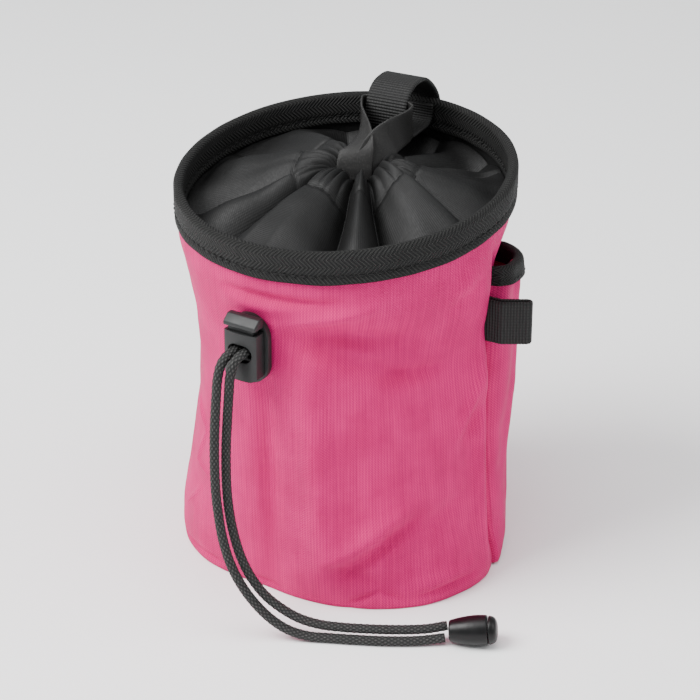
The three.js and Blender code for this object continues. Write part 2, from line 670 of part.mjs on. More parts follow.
function roundedShape(x0, x1, z0, z1, lowCorner, highCorner) {
  const shape = new THREE.Shape();
  shape.moveTo(x0 + lowCorner, z0);
  shape.lineTo(x1 - lowCorner, z0);
  shape.absarc(x1 - lowCorner, z0 + lowCorner, lowCorner, -Math.PI / 2, 0);
  shape.lineTo(x1, z1 - highCorner);
  shape.absarc(x1 - highCorner, z1 - highCorner, highCorner, 0, Math.PI / 2);
  shape.lineTo(x0 + highCorner, z1);
  shape.absarc(x0 + highCorner, z1 - highCorner, highCorner, Math.PI / 2, Math.PI);
  shape.lineTo(x0, z0 + lowCorner);
  shape.absarc(x0 + lowCorner, z0 + lowCorner, lowCorner, Math.PI, 1.5 * Math.PI);
  return shape;
}

// In the lock's own frame the cloth is at y = 0, outward is -y, and z = 0 is the plate's middle
const housingBack = -(GAP + PLATE_THICKNESS + GAP);
const housingFront = housingBack - HOUSING_DEPTH;
const housingFloor = -HOUSING_LOW;
const housingTop = housingFloor + HOUSING_HEIGHT;
const cavityFront = housingFront + FRONT_WALL;
const cavityBack = cavityFront + CAVITY_DEPTH;
const cordHeight = housingFloor + CORD_LEVEL;

function lockPlate() {
  const shape = roundedShape(-PLATE_WIDTH / 2, PLATE_WIDTH / 2, -PLATE_HEIGHT / 2, PLATE_HEIGHT / 2,
    PLATE_WIDTH / 2 - 0.01, PLATE_WIDTH / 2 - 0.01);
  return meshOf('lock_plate', plateShape(shape, -GAP - PLATE_THICKNESS, -GAP, 8), 'plastic');
}

// Plan of the housing with a bowed front, made solid upward
function housingPlan() {
  const half = HOUSING_WIDTH / 2;
  const radius = (half ** 2 + HOUSING_CROWN ** 2) / (2 * HOUSING_CROWN);
  const sweep = Math.asin(half / radius);
  const shape = new THREE.Shape();
  shape.moveTo(half, housingBack);
  shape.lineTo(-half, housingBack);
  shape.absarc(0, housingFront + radius, radius, -Math.PI / 2 - sweep, -Math.PI / 2 + sweep);
  const made = { depth: HOUSING_HEIGHT, bevelEnabled: false, curveSegments: 8 };
  const geometry = new THREE.ExtrudeGeometry(shape, made);
  return geometry.translate(0, 0, housingFloor);
}

function lockHousing() {
  const front = roundedShape(-HOUSING_WIDTH / 2 - 1, HOUSING_WIDTH / 2 + 1, housingFloor, housingTop + 2,
    HOUSING_CORNER, 0.5);
  const trim = plateShape(front, housingFront - 1, housingBack + 1, 6);
  const outer = toManifold(housingPlan()).intersect(toManifold(trim));
  const cavity = block(-CAVITY_WIDTH / 2, CAVITY_WIDTH / 2, cavityFront, cavityBack,
    housingFloor + CAVITY_FLOOR, housingTop + 1);
  const round = CORD_HOLE_HEIGHT / 2 - 0.01;
  const middle = cordHeight - GAP;
  const hole = roundedShape(-CORD_HOLE_WIDTH / 2, CORD_HOLE_WIDTH / 2, middle - CORD_HOLE_HEIGHT / 2,
    middle + CORD_HOLE_HEIGHT / 2, round, round);
  const cut = toManifold(cavity).add(toManifold(plateShape(hole, housingFront - 1, cavityBack - 0.5, 6)));
  return meshOf('lock_housing', fromManifold(outer.subtract(cut)), 'plastic');
}

// Button: a cap with a sloping top over a stem whose window holds the cords
function lockButton() {
  const capLow = housingTop + TRAVEL + GAP;
  const capFront = housingFront + GAP;
  const stemHalf = CAVITY_WIDTH / 2 - STEM_CLEARANCE;
  const side = new THREE.Shape();
  side.moveTo(capFront, capLow);
  side.lineTo(capFront + CAP_DEPTH, capLow);
  side.lineTo(capFront + CAP_DEPTH, capLow + CAP_BACK);
  side.lineTo(capFront + CAP_DEPTH * 0.55, capLow + CAP_BACK);
  side.lineTo(capFront + CAP_DEPTH * 0.1, capLow + CAP_FRONT);
  side.lineTo(capFront, capLow + CAP_FRONT * 0.7);
  const cap = new THREE.ExtrudeGeometry(side, { depth: HOUSING_WIDTH, bevelEnabled: false });
  cap.rotateY(Math.PI / 2).rotateX(Math.PI / 2).translate(-HOUSING_WIDTH / 2, 0, 0);
  const windowLow = cordHeight - CORD_DIAMETER / 2 - GAP;
  const windowHigh = cordHeight + CORD_DIAMETER / 2 + GAP + TRAVEL;
  const stem = block(-stemHalf, stemHalf, cavityFront + STEM_CLEARANCE, cavityBack - STEM_CLEARANCE,
    windowLow - STEM_FOOT, capLow + CAP_FRONT / 2);
  const window = block(-WINDOW_WIDTH / 2, WINDOW_WIDTH / 2, cavityFront - 1, cavityBack + 1,
    windowLow, windowHigh);
  const body = toManifold(cap).add(toManifold(stem)).subtract(toManifold(window));
  return meshOf('lock_button', fromManifold(body), 'plastic');
}

function cordLock() {
  const group = new THREE.Group();
  group.add(lockPlate(), lockHousing(), lockButton());
  group.rotation.z = degToRad(LOCK_ANGLE);
  const seat = flatSeat(LOCK_ANGLE, LOCK_HEIGHT, PLATE_WIDTH, PLATE_HEIGHT);
  group.position.copy(at(LOCK_ANGLE, seat, LOCK_HEIGHT));
  return group;
}

function cord(name, route) {
  const section = new THREE.Shape();
  section.absarc(0, 0, CORD_DIAMETER / 2, 0, 2 * Math.PI);
  const points = route.map((point) => new THREE.Vector3(...point));
  const extrudePath = new THREE.CatmullRomCurve3(points, false, 'centripetal');
  const made = { steps: CORD_STEPS, curveSegments: CORD_SIDES / 2, extrudePath };
  return meshOf(name, new THREE.ExtrudeGeometry(section, made), 'cord');
}

// Bell and its end cap, turned about their length from the neck on
function bellPiece(name, profile) {
  const points = profile.map(([radius, along]) => new THREE.Vector2(radius, along));
  return meshOf(name, new THREE.LatheGeometry(points, BELL_SIDES), 'bell');
}

function cordEnd() {
  const capRadius = BELL_RADIUS * 0.93;
  const bell = bellPiece('cord_end_bell', [
    [0, 0], [BELL_NECK * 0.9, 0], [BELL_NECK, BELL_LENGTH * 0.05], [BELL_RADIUS * 0.9, BELL_LENGTH * 0.35],
    [BELL_RADIUS, BELL_LENGTH * 0.68], [BELL_RADIUS * 0.97, BELL_LENGTH], [0, BELL_LENGTH],
  ]);
  const start = BELL_LENGTH + GAP;
  const cap = bellPiece('cord_end_cap', [
    [0, start], [capRadius, start], [capRadius * 0.9, start + CAP_LENGTH * 0.45],
    [capRadius * 0.6, start + CAP_LENGTH * 0.83], [0, start + CAP_LENGTH],
  ]);
  const group = new THREE.Group();
  group.add(bell, cap);
  const heading = degToRad(BELL_HEADING);
  const rise = Math.sin(degToRad(BELL_PITCH));
  const along = new THREE.Vector3(Math.cos(heading), Math.sin(heading), rise).normalize();
  group.quaternion.setFromUnitVectors(new THREE.Vector3(0, 1, 0), along);
  group.position.set(BELL_X, BELL_Y, BELL_NECK_HEIGHT);
  return group;
}

const bag = new THREE.Group();
bag.add(
  bodyShell(), basePanel(), rimBinding(), collar(),
  brushSleeve(), sleeveBinding(), brushLoop(), haulLoop(), pullRibbon(),
  cordLock(), cord('cord_left', CORD_LEFT), cord('cord_right', CORD_RIGHT), cordEnd(),
);

export default bag;
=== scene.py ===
import math

import bmesh
import bpy
import numpy as np
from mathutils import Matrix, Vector
from mathutils.bvhtree import BVHTree


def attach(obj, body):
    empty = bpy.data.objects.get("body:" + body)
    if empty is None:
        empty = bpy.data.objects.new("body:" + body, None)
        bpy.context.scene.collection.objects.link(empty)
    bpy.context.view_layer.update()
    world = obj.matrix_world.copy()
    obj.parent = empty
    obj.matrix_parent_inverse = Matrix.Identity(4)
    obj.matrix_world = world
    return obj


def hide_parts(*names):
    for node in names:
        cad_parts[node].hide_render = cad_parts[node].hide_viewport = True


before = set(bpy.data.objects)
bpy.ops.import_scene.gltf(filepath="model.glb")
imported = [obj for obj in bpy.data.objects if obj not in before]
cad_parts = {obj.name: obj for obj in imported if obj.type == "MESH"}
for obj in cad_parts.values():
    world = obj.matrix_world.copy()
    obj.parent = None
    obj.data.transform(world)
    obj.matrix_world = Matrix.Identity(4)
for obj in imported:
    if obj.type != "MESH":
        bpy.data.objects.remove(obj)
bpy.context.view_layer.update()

# The bag stands at the origin with its cord lock toward -Y. All lengths are metres, and angles
# round the bag are degrees from -Y that grow toward +X.


def table(columns, *rows):
    """Rows of numbers with named columns."""
    return [dict(zip(columns.split(), row)) for row in rows]


# Sizes of the model that the pieces are made on
RIM_RADIUS = 0.060
RIM_HEIGHT = 0.1443
RIM_SLOPE = 0.11  # rise of the rim for each metre toward the back
CLOTH = 0.0012
GAP = 0.0003
TAPE = 0.001
BINDING_WIDTH = 0.0038
BINDING_DEPTH = 0.0115
HOLE_LONG = 0.0076
HOLE_SHORT = 0.0032
HOLE_X = 0.0031
HOLE_Y = 0.0042
HOLE_TURN = 36.5
COLLAR_FOLD = 0.0040
SEAM_ANGLE = 97.5
SLEEVE_SPAN = 35
SLEEVE_DEPTH = 0.011
SLEEVE_LIP = 0.119
SLEEVE_LIP_FALL = 0.005
SLEEVE_FOOT = 0.0022
SLEEVE_SEAT = 0.0005
MOUTH_TAPE = 0.0008
MOUTH_DEPTH = 0.0075
WEBBING = 0.016
WEBBING_THICKNESS = 0.0014
SIDE_LOOP_HEIGHT = 0.1002
SIDE_LOOP_ROOT = 0.0613
SIDE_LOOP_SEWN_IN = 0.0084
SIDE_LOOP_REACH = 0.0107
SIDE_LOOP_GAP = 0.0011
SIDE_LOOP_HEADING = 126.5
HAUL_ANGLE = 190
HAUL_REACH = 0.029
HAUL_RISE = 0.0112
HAUL_RADIUS = 0.061
RIBBON = 0.0125
RIBBON_THICKNESS = 0.0008
CORD_DIAMETER = 0.0034
BELL_PLACE = (0.0756, -0.0422, 0.00465)
BELL_HEADING = 31
BELL_PITCH = 5

# The photograph's camera
CAMERA_AZIMUTH = 36.5
CAMERA_ELEVATION = 27
CAMERA_DISTANCE = 0.9
CAMERA_TARGET = (0.001286, 0.000952, 0.073)
CAMERA_LENS = 128.57
LIGHT_TARGET = (0, 0, 0.07)

# Middle of each cord, from inside the lock down to the floor and along it to the bell
CORD_LEFT = [
    (0.0025, -0.0622, 0.1004), (0.0024, -0.0652, 0.1004), (0.0020, -0.0686, 0.0999),
    (0.0017, -0.0718, 0.0979), (0.0019, -0.0742, 0.0940), (0.0026, -0.0762, 0.0875),
    (0.0032, -0.0779, 0.0795), (0.0038, -0.0793, 0.0710), (0.0044, -0.0802, 0.0625),
    (0.0051, -0.0808, 0.0540), (0.0064, -0.0813, 0.0455), (0.0085, -0.0819, 0.0370),
    (0.0112, -0.0821, 0.0295), (0.0146, -0.0815, 0.0225), (0.0190, -0.0798, 0.0153),
    (0.0245, -0.0771, 0.0086), (0.0300, -0.0740, 0.0042), (0.0360, -0.0705, 0.0021),
    (0.0430, -0.0663, 0.00175), (0.0500, -0.0623, 0.00175), (0.0595, -0.0564, 0.00175),
    (0.0684, -0.0498, 0.0019), (0.0752, -0.0440, 0.0027),
]
CORD_RIGHT = [
    (0.00635, -0.0619, 0.1004), (0.0063, -0.0649, 0.1004), (0.0059, -0.0676, 0.0999),
    (0.0055, -0.0702, 0.0980), (0.0054, -0.0720, 0.0943), (0.0055, -0.0731, 0.0875),
    (0.0056, -0.0742, 0.0795), (0.0058, -0.0754, 0.0705), (0.0062, -0.0763, 0.0615),
    (0.0069, -0.0770, 0.0530), (0.0082, -0.0775, 0.0445), (0.0103, -0.0778, 0.0365),
    (0.0130, -0.0777, 0.0290), (0.0164, -0.0770, 0.0223), (0.0209, -0.0754, 0.0160),
    (0.0262, -0.0730, 0.0112), (0.0318, -0.0702, 0.0077), (0.0380, -0.0668, 0.0057),
    (0.0445, -0.0630, 0.00505), (0.0510, -0.0592, 0.00495), (0.0602, -0.0532, 0.00495),
    (0.0687, -0.0466, 0.0051), (0.0743, -0.0414, 0.00595),
]

# Creases of the cloth, each from one angle and level (share of its height) to another
CREASES = table(
    "angle level to_angle to_level depth width",
    (-7, 0.872, 33, 0.870, -0.0021, 0.0016), (-6, 0.842, 26, 0.842, 0.0011, 0.0026),
    (19, 0.775, 60, 0.735, -0.0045, 0.0062), (23, 0.735, 56, 0.635, -0.0024, 0.0036),
    (16, 0.800, 46, 0.852, 0.0028, 0.0030), (50, 0.632, 72, 0.622, -0.0022, 0.0030),
    (54, 0.595, 76, 0.590, 0.0010, 0.0040), (24, 0.68, 29, 0.16, 0.0030, 0.0056),
    (7, 0.62, 8, 0.20, -0.0020, 0.0040), (36, 0.105, 62, 0.245, -0.0026, 0.0032),
    (28, 0.130, 57, 0.275, 0.0019, 0.0032), (31, 0.135, 53, 0.055, -0.0012, 0.0028),
    (38, 0.018, 48, 0.050, -0.0014, 0.0015), (48, 0.050, 57, 0.022, -0.0014, 0.0015),
    (60, 0.030, 82, 0.042, -0.0015, 0.0014), (60, 0.060, 82, 0.070, 0.0009, 0.0022),
    (80, 0.43, 90, 0.56, 0.0014, 0.0020), (83, 0.40, 93, 0.50, -0.0014, 0.0030),
    (77, 0.82, 82, 0.87, 0.0013, 0.0036), (74, 0.78, 88, 0.84, -0.0010, 0.0030),
    (72, 0.16, 82, 0.10, 0.0014, 0.0050), (63, 0.22, 82, 0.25, -0.0012, 0.0040),
    (-37, 0.46, -27, 0.39, 0.0008, 0.0010), (-27, 0.39, -35, 0.28, 0.0008, 0.0010),
    (-35, 0.28, -25, 0.27, 0.0007, 0.0010), (-42, 0.12, -30, 0.213, 0.0008, 0.0010),
    (-44, 0.024, -14, 0.030, -0.0012, 0.0010), (-14, 0.030, 12, 0.020, -0.0010, 0.0010),
    (150, 0.80, 175, 0.72, -0.0018, 0.0055), (188, 0.60, 214, 0.42, -0.0016, 0.0060),
    (200, 0.30, 236, 0.22, 0.0014, 0.0045), (240, 0.74, 262, 0.64, -0.0018, 0.0055),
    (276, 0.20, 300, 0.10, -0.0014, 0.0045), (146, 0.16, 170, 0.10, -0.0014, 0.0045),
)

# The ridge of cloth in front of the sleeve's seam: its height at each level
SEAM_RIDGE = table(
    "level height",
    (0, 0.0003), (0.1, 0.0010), (0.2, 0.0017), (0.3, 0.0031), (0.4, 0.0037), (0.5, 0.0032),
    (0.6, 0.0018), (0.7, 0.0007), (0.76, -0.0007), (0.82, -0.0003), (0.88, 0),
)

RIDGE_PLACE = -0.0056  # from the seam, round the wall
RIDGE_WIDTH = 0.0040

# The cloth pulled in along that seam
MOUTH_LEVEL = 0.76
DENT_PLACE = 0.0012
DENT_WIDTH = 0.0034
DENT_AT_MOUTH = 0.0016
DENT_BELOW = 0.0012

# Crests and valleys of the gathered collar; height is a share of COLLAR_FOLD
COLLAR_FOLDS = table(
    "angle height",
    (0, 0.7), (28, -1.5), (40, 0.6), (52, -1.5), (84, 1.2), (94, -0.7), (116, 0.1),
    (142, -0.8), (153, -1.7), (166, -0.9), (179, -1.8), (197, -1.3), (216, -1.7), (240, 0.8),
    (262, -0.5), (275, 0.7), (306, -0.9), (320, 0.4), (336, -1.3), (348, 0.6),
)

# The collar from the hole (reach 0) to the wall (reach 1): drop under the plane of the rim as
# a share of BINDING_DEPTH, and how much of the fold height shows
COLLAR_PROFILE = table(
    "reach drop fold",
    (0.0, 0.50, 0.15), (0.025, 0.24, 0.25), (0.06, 0.06, 0.4), (0.15, -0.08, 0.5), (0.3, 0.1, 0.85),
    (0.5, 0.36, 1.0), (0.7, 0.64, 0.9), (0.87, 0.9, 0.65), (1.0, 1.03, 0.3),
)
COLLAR_MIDDLE = 0.035  # radius halfway between the hole and the wall, about
COLLAR_RUN = 0.05  # from the hole to the wall, about
COLLAR_STITCH_REACH = 0.29

# How far the sleeve stands off the bag at each level, as a share of SLEEVE_DEPTH
SLEEVE_LIFT = table(
    "level lift",
    (0, 0.12), (0.1, 0.3), (0.27, 0.56), (0.43, 0.82), (0.66, 0.95), (0.74, 0.84),
    (0.8, 0.62), (0.86, 0.5),
)

# Rim loop, outer leg to inner end: in is a share of HAUL_REACH, up a share of HAUL_RISE
HAUL_ROUTE = table(
    "in up",
    (0, -0.95), (0, -0.1), (0.055, 0.16), (0.215, 0.6), (0.42, 0.94), (0.64, 1.0), (0.79, 0.94),
    (0.91, 0.75), (0.98, 0.45), (1.01, 0.05), (1.0, -0.35), (0.93, -0.6), (0.8, -0.69), (0.53, -0.72),
    (0.31, -0.71), (0.225, -0.58), (0.21, -0.4), (0.21, -0.12),
)

# Ribbon round the inner leg of the rim loop: across is a share of WEBBING, out a share of the
# distance to that leg, up a share of HAUL_RISE, turn is 0 lying flat and 90 on edge
RIBBON_ROUTE = table(
    "across out up turn",
    (0.08, 0.13, -1.15, 0), (0.06, 0.16, -0.7, 0), (0.0, 0.3, -0.2, 24), (-0.17, 0.52, -0.03, 50),
    (-0.36, 0.76, 0.02, 75), (-0.53, 0.94, 0.08, 90), (-0.57, 1.02, 0.1, 90), (-0.45, 1.06, 0.1, 90),
    (0.45, 1.06, 0.1, 90), (0.6, 1.03, 0.06, 90), (0.64, 0.96, 0.02, 90), (0.6, 0.8, -0.03, 80),
    (0.54, 0.6, -0.05, 66), (0.46, 0.42, -0.2, 40), (0.36, 0.3, -0.7, 10), (0.33, 0.27, -1.15, 0),
)

# Bell and cap: radius at each distance from the bell's neck
BELL_PROFILE = [
    (0.0, 0.0), (0.0030, 0.0), (0.0035, 0.0001), (0.0038, 0.0005), (0.00402, 0.0013),
    (0.00438, 0.0027), (0.00474, 0.0045), (0.00508, 0.0066), (0.00530, 0.0088),
    (0.00535, 0.0105), (0.00529, 0.0124), (0.00518, 0.0132), (0.00495, 0.0134), (0.0, 0.0134),
]
CAP_PROFILE = [
    (0.0, 0.0137), (0.00475, 0.0137), (0.00497, 0.01385), (0.00495, 0.0144), (0.00468, 0.0153),
    (0.00412, 0.01605), (0.00322, 0.01655), (0.0020, 0.01682), (0.0, 0.0169),
]

# Stitches
STITCH_LENGTH = 0.0020
STITCH_GAP = 0.0012
STITCH_WIDTH = 0.0008
STITCH_ROW = 0.0029  # above the lower edge of the rim's tape

# Pitch of the weaves, ribs and twists
NYLON_WEAVE = 0.00098
NYLON_RIB = 0.00115
COLLAR_WEAVE = 0.00055
WEBBING_RIB = 0.00105
WEBBING_WARP = 0.0011
RIBBON_TWILL = 0.00062
CORD_FIBRE = 0.00035
THREAD_TWIST = 0.0003
PLAITS = 8  # round the cord
PLAIT_LENGTH = 0.0022

# Colours
PINK = (0.78, 0.021, 0.205)
PINK_DARK = (0.40, 0.005, 0.088)
TAPE_BLACK = (0.0012, 0.0012, 0.0012)
# painted highlight: the colour given to the lit crests of the twill's ribs
TAPE_CREST_HIGHLIGHT = (0.058, 0.058, 0.054)
CHARCOAL = (0.0014, 0.0014, 0.00135)
WEBBING_BLACK = (0.002, 0.002, 0.002)
# painted highlight: the colour given to the lit crests of the webbing's ribs
WEBBING_CREST_HIGHLIGHT = (0.026, 0.026, 0.025)
RIBBON_GREY = (0.005, 0.0047, 0.0044)
RIBBON_LIGHT = (0.024, 0.023, 0.022)
PLASTIC_GREY = (0.0085, 0.0088, 0.0090)
CORD_BLACK = (0.0012, 0.0012, 0.0012)
# painted highlight: the colour given to the lit crests of the cord's plaits
CORD_CREST_HIGHLIGHT = (0.09, 0.09, 0.085)
BELL_BLACK = (0.0016, 0.0016, 0.0017)
THREAD_BLACK = (0.0008, 0.0008, 0.0008)
FLOOR_GREY = (0.96, 0.96, 0.96)


def place(angle, radius, z):
    """Points at angles round the bag, from arrays that fit together."""
    a = np.radians(angle)
    x, y, z = np.broadcast_arrays(radius * np.sin(a), -radius * np.cos(a), z)
    return np.stack([x, y, z], -1)


def rim_plane(y):
    return RIM_HEIGHT + RIM_SLOPE * y


def rim_top(angle):
    return rim_plane(-RIM_RADIUS * np.cos(np.radians(angle)))


def cloth_top(angle):
    return rim_top(angle) - TAPE - GAP


def smoothstep(x, low, high):
    u = np.clip((x - low) / (high - low), 0, 1)
    return u * u * (3 - 2 * u)


def through(rows, key, column, x):
    """Smooth values of a column at x, through rows sorted by their key."""
    keys = np.array([row[key] for row in rows], float)
    values = np.array([row[column] for row in rows], float)
    slopes = np.gradient(values, keys)
    x = np.clip(x, keys[0], keys[-1])
    i = np.clip(np.searchsorted(keys, x, side="right") - 1, 0, len(keys) - 2)
    step = keys[i + 1] - keys[i]
    u = (x - keys[i]) / step
    ease = u * u * (3 - 2 * u)
    bend = slopes[i] * u * (1 - u) ** 2 - slopes[i + 1] * u * u * (1 - u)
    return values[i] + (values[i + 1] - values[i]) * ease + step * bend


def unevenness(x, y, size, seed):
    """Smooth pattern between about -1 and 1 whose humps are about that size."""
    rng = np.random.default_rng(seed)
    total = np.zeros(np.broadcast(x, y).shape)
    waves = 18
    for _ in range(waves):
        heading = rng.uniform(0, 2 * math.pi)
        length = size * rng.uniform(1.4, 3.2)
        phase = rng.uniform(0, 2 * math.pi)
        along = x * math.cos(heading) + y * math.sin(heading)
        total = total + np.sin(2 * math.pi * along / length + phase)
    return total / math.sqrt(waves)


def add_object(name, data):
    thing = bpy.data.objects.new(name, data)
    bpy.context.scene.collection.objects.link(thing)
    return thing


def round_angles(columns, start=0):
    return (start + np.arange(columns) * 360 / columns)[:, None]


def round_uv(columns, radius, v):
    """U round a closed ring of columns, with v at each of its rows."""
    u = np.arange(columns + 1)[:, None] * (2 * math.pi * radius / columns)
    return np.stack(np.broadcast_arrays(u, v[None, :]), -1)


def grid(name, points, uv, around=False, across=False):
    """Mesh from rows and columns of points. around joins the last row to the first, across the
    columns; uv has one row or column more where they are joined."""
    rows, columns = points.shape[:2]
    r = np.arange(rows if around else rows - 1)
    c = np.arange(columns if across else columns - 1)
    a, b = np.meshgrid(r, c, indexing="ij")
    next_a = (a + 1) % rows
    next_b = (b + 1) % columns
    corners = [a * columns + b, next_a * columns + b, next_a * columns + next_b, a * columns + next_b]
    mesh = bpy.data.meshes.new(name)
    mesh.from_pydata(points.reshape(-1, 3).tolist(), [], np.stack(corners, -1).reshape(-1, 4).tolist())
    layer = mesh.uv_layers.new(name="UVMap")
    at_corners = np.stack([uv[a, b], uv[a + 1, b], uv[a + 1, b + 1], uv[a, b + 1]], 2)
    layer.data.foreach_set("uv", at_corners.reshape(-1))
    mesh.polygons.foreach_set("use_smooth", np.ones(len(mesh.polygons), bool))
    mesh.update()
    return add_object(name, mesh)


def turn_outward(piece, fill_ends=False):
    """Turn the faces of a closed mesh out, after its open ends are filled."""
    shape = bmesh.new()
    shape.from_mesh(piece.data)
    if fill_ends:
        bmesh.ops.holes_fill(shape, edges=[e for e in shape.edges if e.is_boundary])
    bmesh.ops.recalc_face_normals(shape, faces=shape.faces)
    shape.to_mesh(piece.data)
    shape.free()


def finish_piece(piece, material, slot, *nodes, body="bag"):
    """Give a piece its material and body, and hide the nodes that it stands for. The slot is not used."""
    piece.data.materials.clear()
    piece.data.materials.append(material)
    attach(piece, body)
    if nodes:
        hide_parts(*nodes)
    return piece


# Curves

def smooth_curve(route, spacing):
    """Points at even steps along the centripetal curve through a route, as the model has it."""
    p = np.array(route, float)
    p = np.vstack([2 * p[0] - p[1], p, 2 * p[-1] - p[-2]])
    found = []
    for i in range(1, len(p) - 2):
        d0, d1, d2 = (max(np.linalg.norm(p[k + 1] - p[k]), 1e-9) ** 0.5 for k in (i - 1, i, i + 1))
        t1 = (p[i] - p[i - 1]) / d0 - (p[i + 1] - p[i - 1]) / (d0 + d1) + (p[i + 1] - p[i]) / d1
        t2 = (p[i + 1] - p[i]) / d1 - (p[i + 2] - p[i]) / (d1 + d2) + (p[i + 2] - p[i + 1]) / d2
        t1, t2 = t1 * d1, t2 * d1
        u = np.linspace(0, 1, 40, endpoint=False)[:, None]
        found.append(
            p[i] + t1 * u + (3 * (p[i + 1] - p[i]) - 2 * t1 - t2) * u**2
            + (2 * (p[i] - p[i + 1]) + t1 + t2) * u**3
        )
    return even_steps(np.vstack([*found, p[-2:-1]]), spacing)


def run_length(points):
    """Distance along a line at each of its points."""
    return np.r_[0, np.cumsum(np.linalg.norm(np.diff(points, axis=0), axis=1))]


def at_distances(s, length, values):
    """Rows of values at distances along a line, from those at its own points."""
    return np.stack([np.interp(s, length, column) for column in values.T], 1)


def even_steps(points, spacing, *others):
    """The same line at even steps, and other rows of values with it."""
    length = run_length(points)
    count = max(2, int(round(length[-1] / spacing)) + 1)
    s = np.linspace(0, length[-1], count)
    stepped = [at_distances(s, length, values) for values in (points, *others)]
    return stepped if others else stepped[0]


def directions(points):
    along = np.gradient(points, axis=0)
    return along / np.linalg.norm(along, axis=1, keepdims=True)


def carried_frame(points, first):
    """Two directions across a line at each point, carried along it without twist."""
    along = directions(points)
    side = np.array(first, float)
    sides = []
    for t in along:
        side = side - t * side.dot(t)
        side /= np.linalg.norm(side)
        sides.append(side.copy())
    sides = np.array(sides)
    return sides, np.cross(along, sides)


# Materials

def new_material(name, roughness, sheen=0.0, specular=0.5):
    material = bpy.data.materials.new(name)
    material.use_nodes = True
    shader = material.node_tree.nodes["Principled BSDF"]
    shader.inputs["Roughness"].default_value = roughness
    shader.inputs["Specular IOR Level"].default_value = specular
    shader.inputs["Sheen Weight"].default_value = sheen
    shader.inputs["Sheen Roughness"].default_value = 0.4
    return material, material.node_tree, shader


def feed(tree, node, values):
    """Give a node's sockets their numbers or links, and return what it makes."""
    for socket, value in zip(node.inputs, values):
        if isinstance(value, (int, float)):
            socket.default_value = value
        else:
            tree.links.new(value, socket)
    return node.outputs[0]


def calc(tree, operation, *values):
    node = tree.nodes.new("ShaderNodeMath")
    node.operation = operation
    return feed(tree, node, values)


def times(tree, *values):
    return calc(tree, "MULTIPLY", *values)


def surface_place(tree):
    """U and V of a surface, in metres along and across it."""
    uv = tree.nodes.new("ShaderNodeUVMap")
    uv.uv_map = "UVMap"
    parts = tree.nodes.new("ShaderNodeSeparateXYZ")
    tree.links.new(uv.outputs[0], parts.inputs[0])
    return parts.outputs[0], parts.outputs[1]


def joined(tree, x, y):
    return feed(tree, tree.nodes.new("ShaderNodeCombineXYZ"), (x, y))


def noise(tree, vector, scale, detail=2.0, roughness=0.5):
    node = tree.nodes.new("ShaderNodeTexNoise")
    node.inputs["Scale"].default_value = scale
    node.inputs["Detail"].default_value = detail
    node.inputs["Roughness"].default_value = roughness
    tree.links.new(vector, node.inputs["Vector"])
    return node.outputs[0]


def solid_place(tree):
    return tree.nodes.new("ShaderNodeTexCoord").outputs["Object"]


def wave(tree, value, pitch):
    """Wave between 0 and 1 that repeats each pitch."""
    turned = calc(tree, "SINE", times(tree, value, 2 * math.pi / pitch))
    return calc(tree, "MULTIPLY_ADD", turned, 0.5, 0.5)


def limited(tree, value, low, high, new_low=0.0, new_high=1.0):
    node = tree.nodes.new("ShaderNodeMapRange")
    tree.links.new(value, node.inputs["Value"])
    for name, number in (("From Min", low), ("From Max", high), ("To Min", new_low), ("To Max", new_high)):
        node.inputs[name].default_value = number
    return node.outputs[0]


def mixed(tree, share, first, second):
    node = tree.nodes.new("ShaderNodeMix")
    node.data_type = "RGBA"
    tree.links.new(share, node.inputs[0])
    for socket, value in ((node.inputs[6], first), (node.inputs[7], second)):
        if isinstance(value, tuple):
            socket.default_value = (*value, 1)
        else:
            tree.links.new(value, socket)
    return node.outputs[2]


def lighter(colour, share):
    return tuple(share * x for x in colour)


def dress(tree, shader, tone, colours, gloss=None, height=None, depth=0.0):
    """Colour between two by tone, roughness from gloss (pattern, low, high), and relief."""
    tree.links.new(mixed(tree, tone, *colours), shader.inputs["Base Color"])
    if gloss:
        pattern, low, high = gloss
        tree.links.new(limited(tree, pattern, 0.3, 0.7, low, high), shader.inputs["Roughness"])
    if height:
        bump = tree.nodes.new("ShaderNodeBump")
        bump.inputs["Distance"].default_value = depth
        tree.links.new(height, bump.inputs["Height"])
        tree.links.new(bump.outputs[0], shader.inputs["Normal"])


def pink_nylon():
    material, tree, shader = new_material("pink_nylon_cloth", 0.6, sheen=0.02, specular=0.09)
    shader.inputs["Sheen Tint"].default_value = (1.0, 0.62, 0.78, 1)
    u, v = surface_place(tree)
    weft = wave(tree, calc(tree, "ADD", u, v), NYLON_WEAVE)
    warp = wave(tree, calc(tree, "SUBTRACT", u, v), NYLON_WEAVE)
    weave = times(tree, weft, warp)
    rib = wave(tree, u, NYLON_RIB)
    streak = noise(tree, joined(tree, u, times(tree, v, 0.04)), 800, 3)
    patch = noise(tree, joined(tree, u, v), 55, 3)
    ribbed = times(tree, rib, limited(tree, patch, 0.42, 0.6, 0.12, 0.34))
    tone = calc(tree, "MULTIPLY_ADD", weave, 0.62, ribbed)
    tone = calc(tree, "ADD", tone, times(tree, limited(tree, streak, 0.35, 0.65), 0.22))
    tone = calc(tree, "ADD", tone, times(tree, limited(tree, patch, 0.3, 0.7), 0.14))
    height = calc(tree, "ADD", weave, times(tree, streak, 0.5))
    dress(tree, shader, tone, (PINK_DARK, PINK), (streak, 0.54, 0.72), height, 0.00015)
    return material


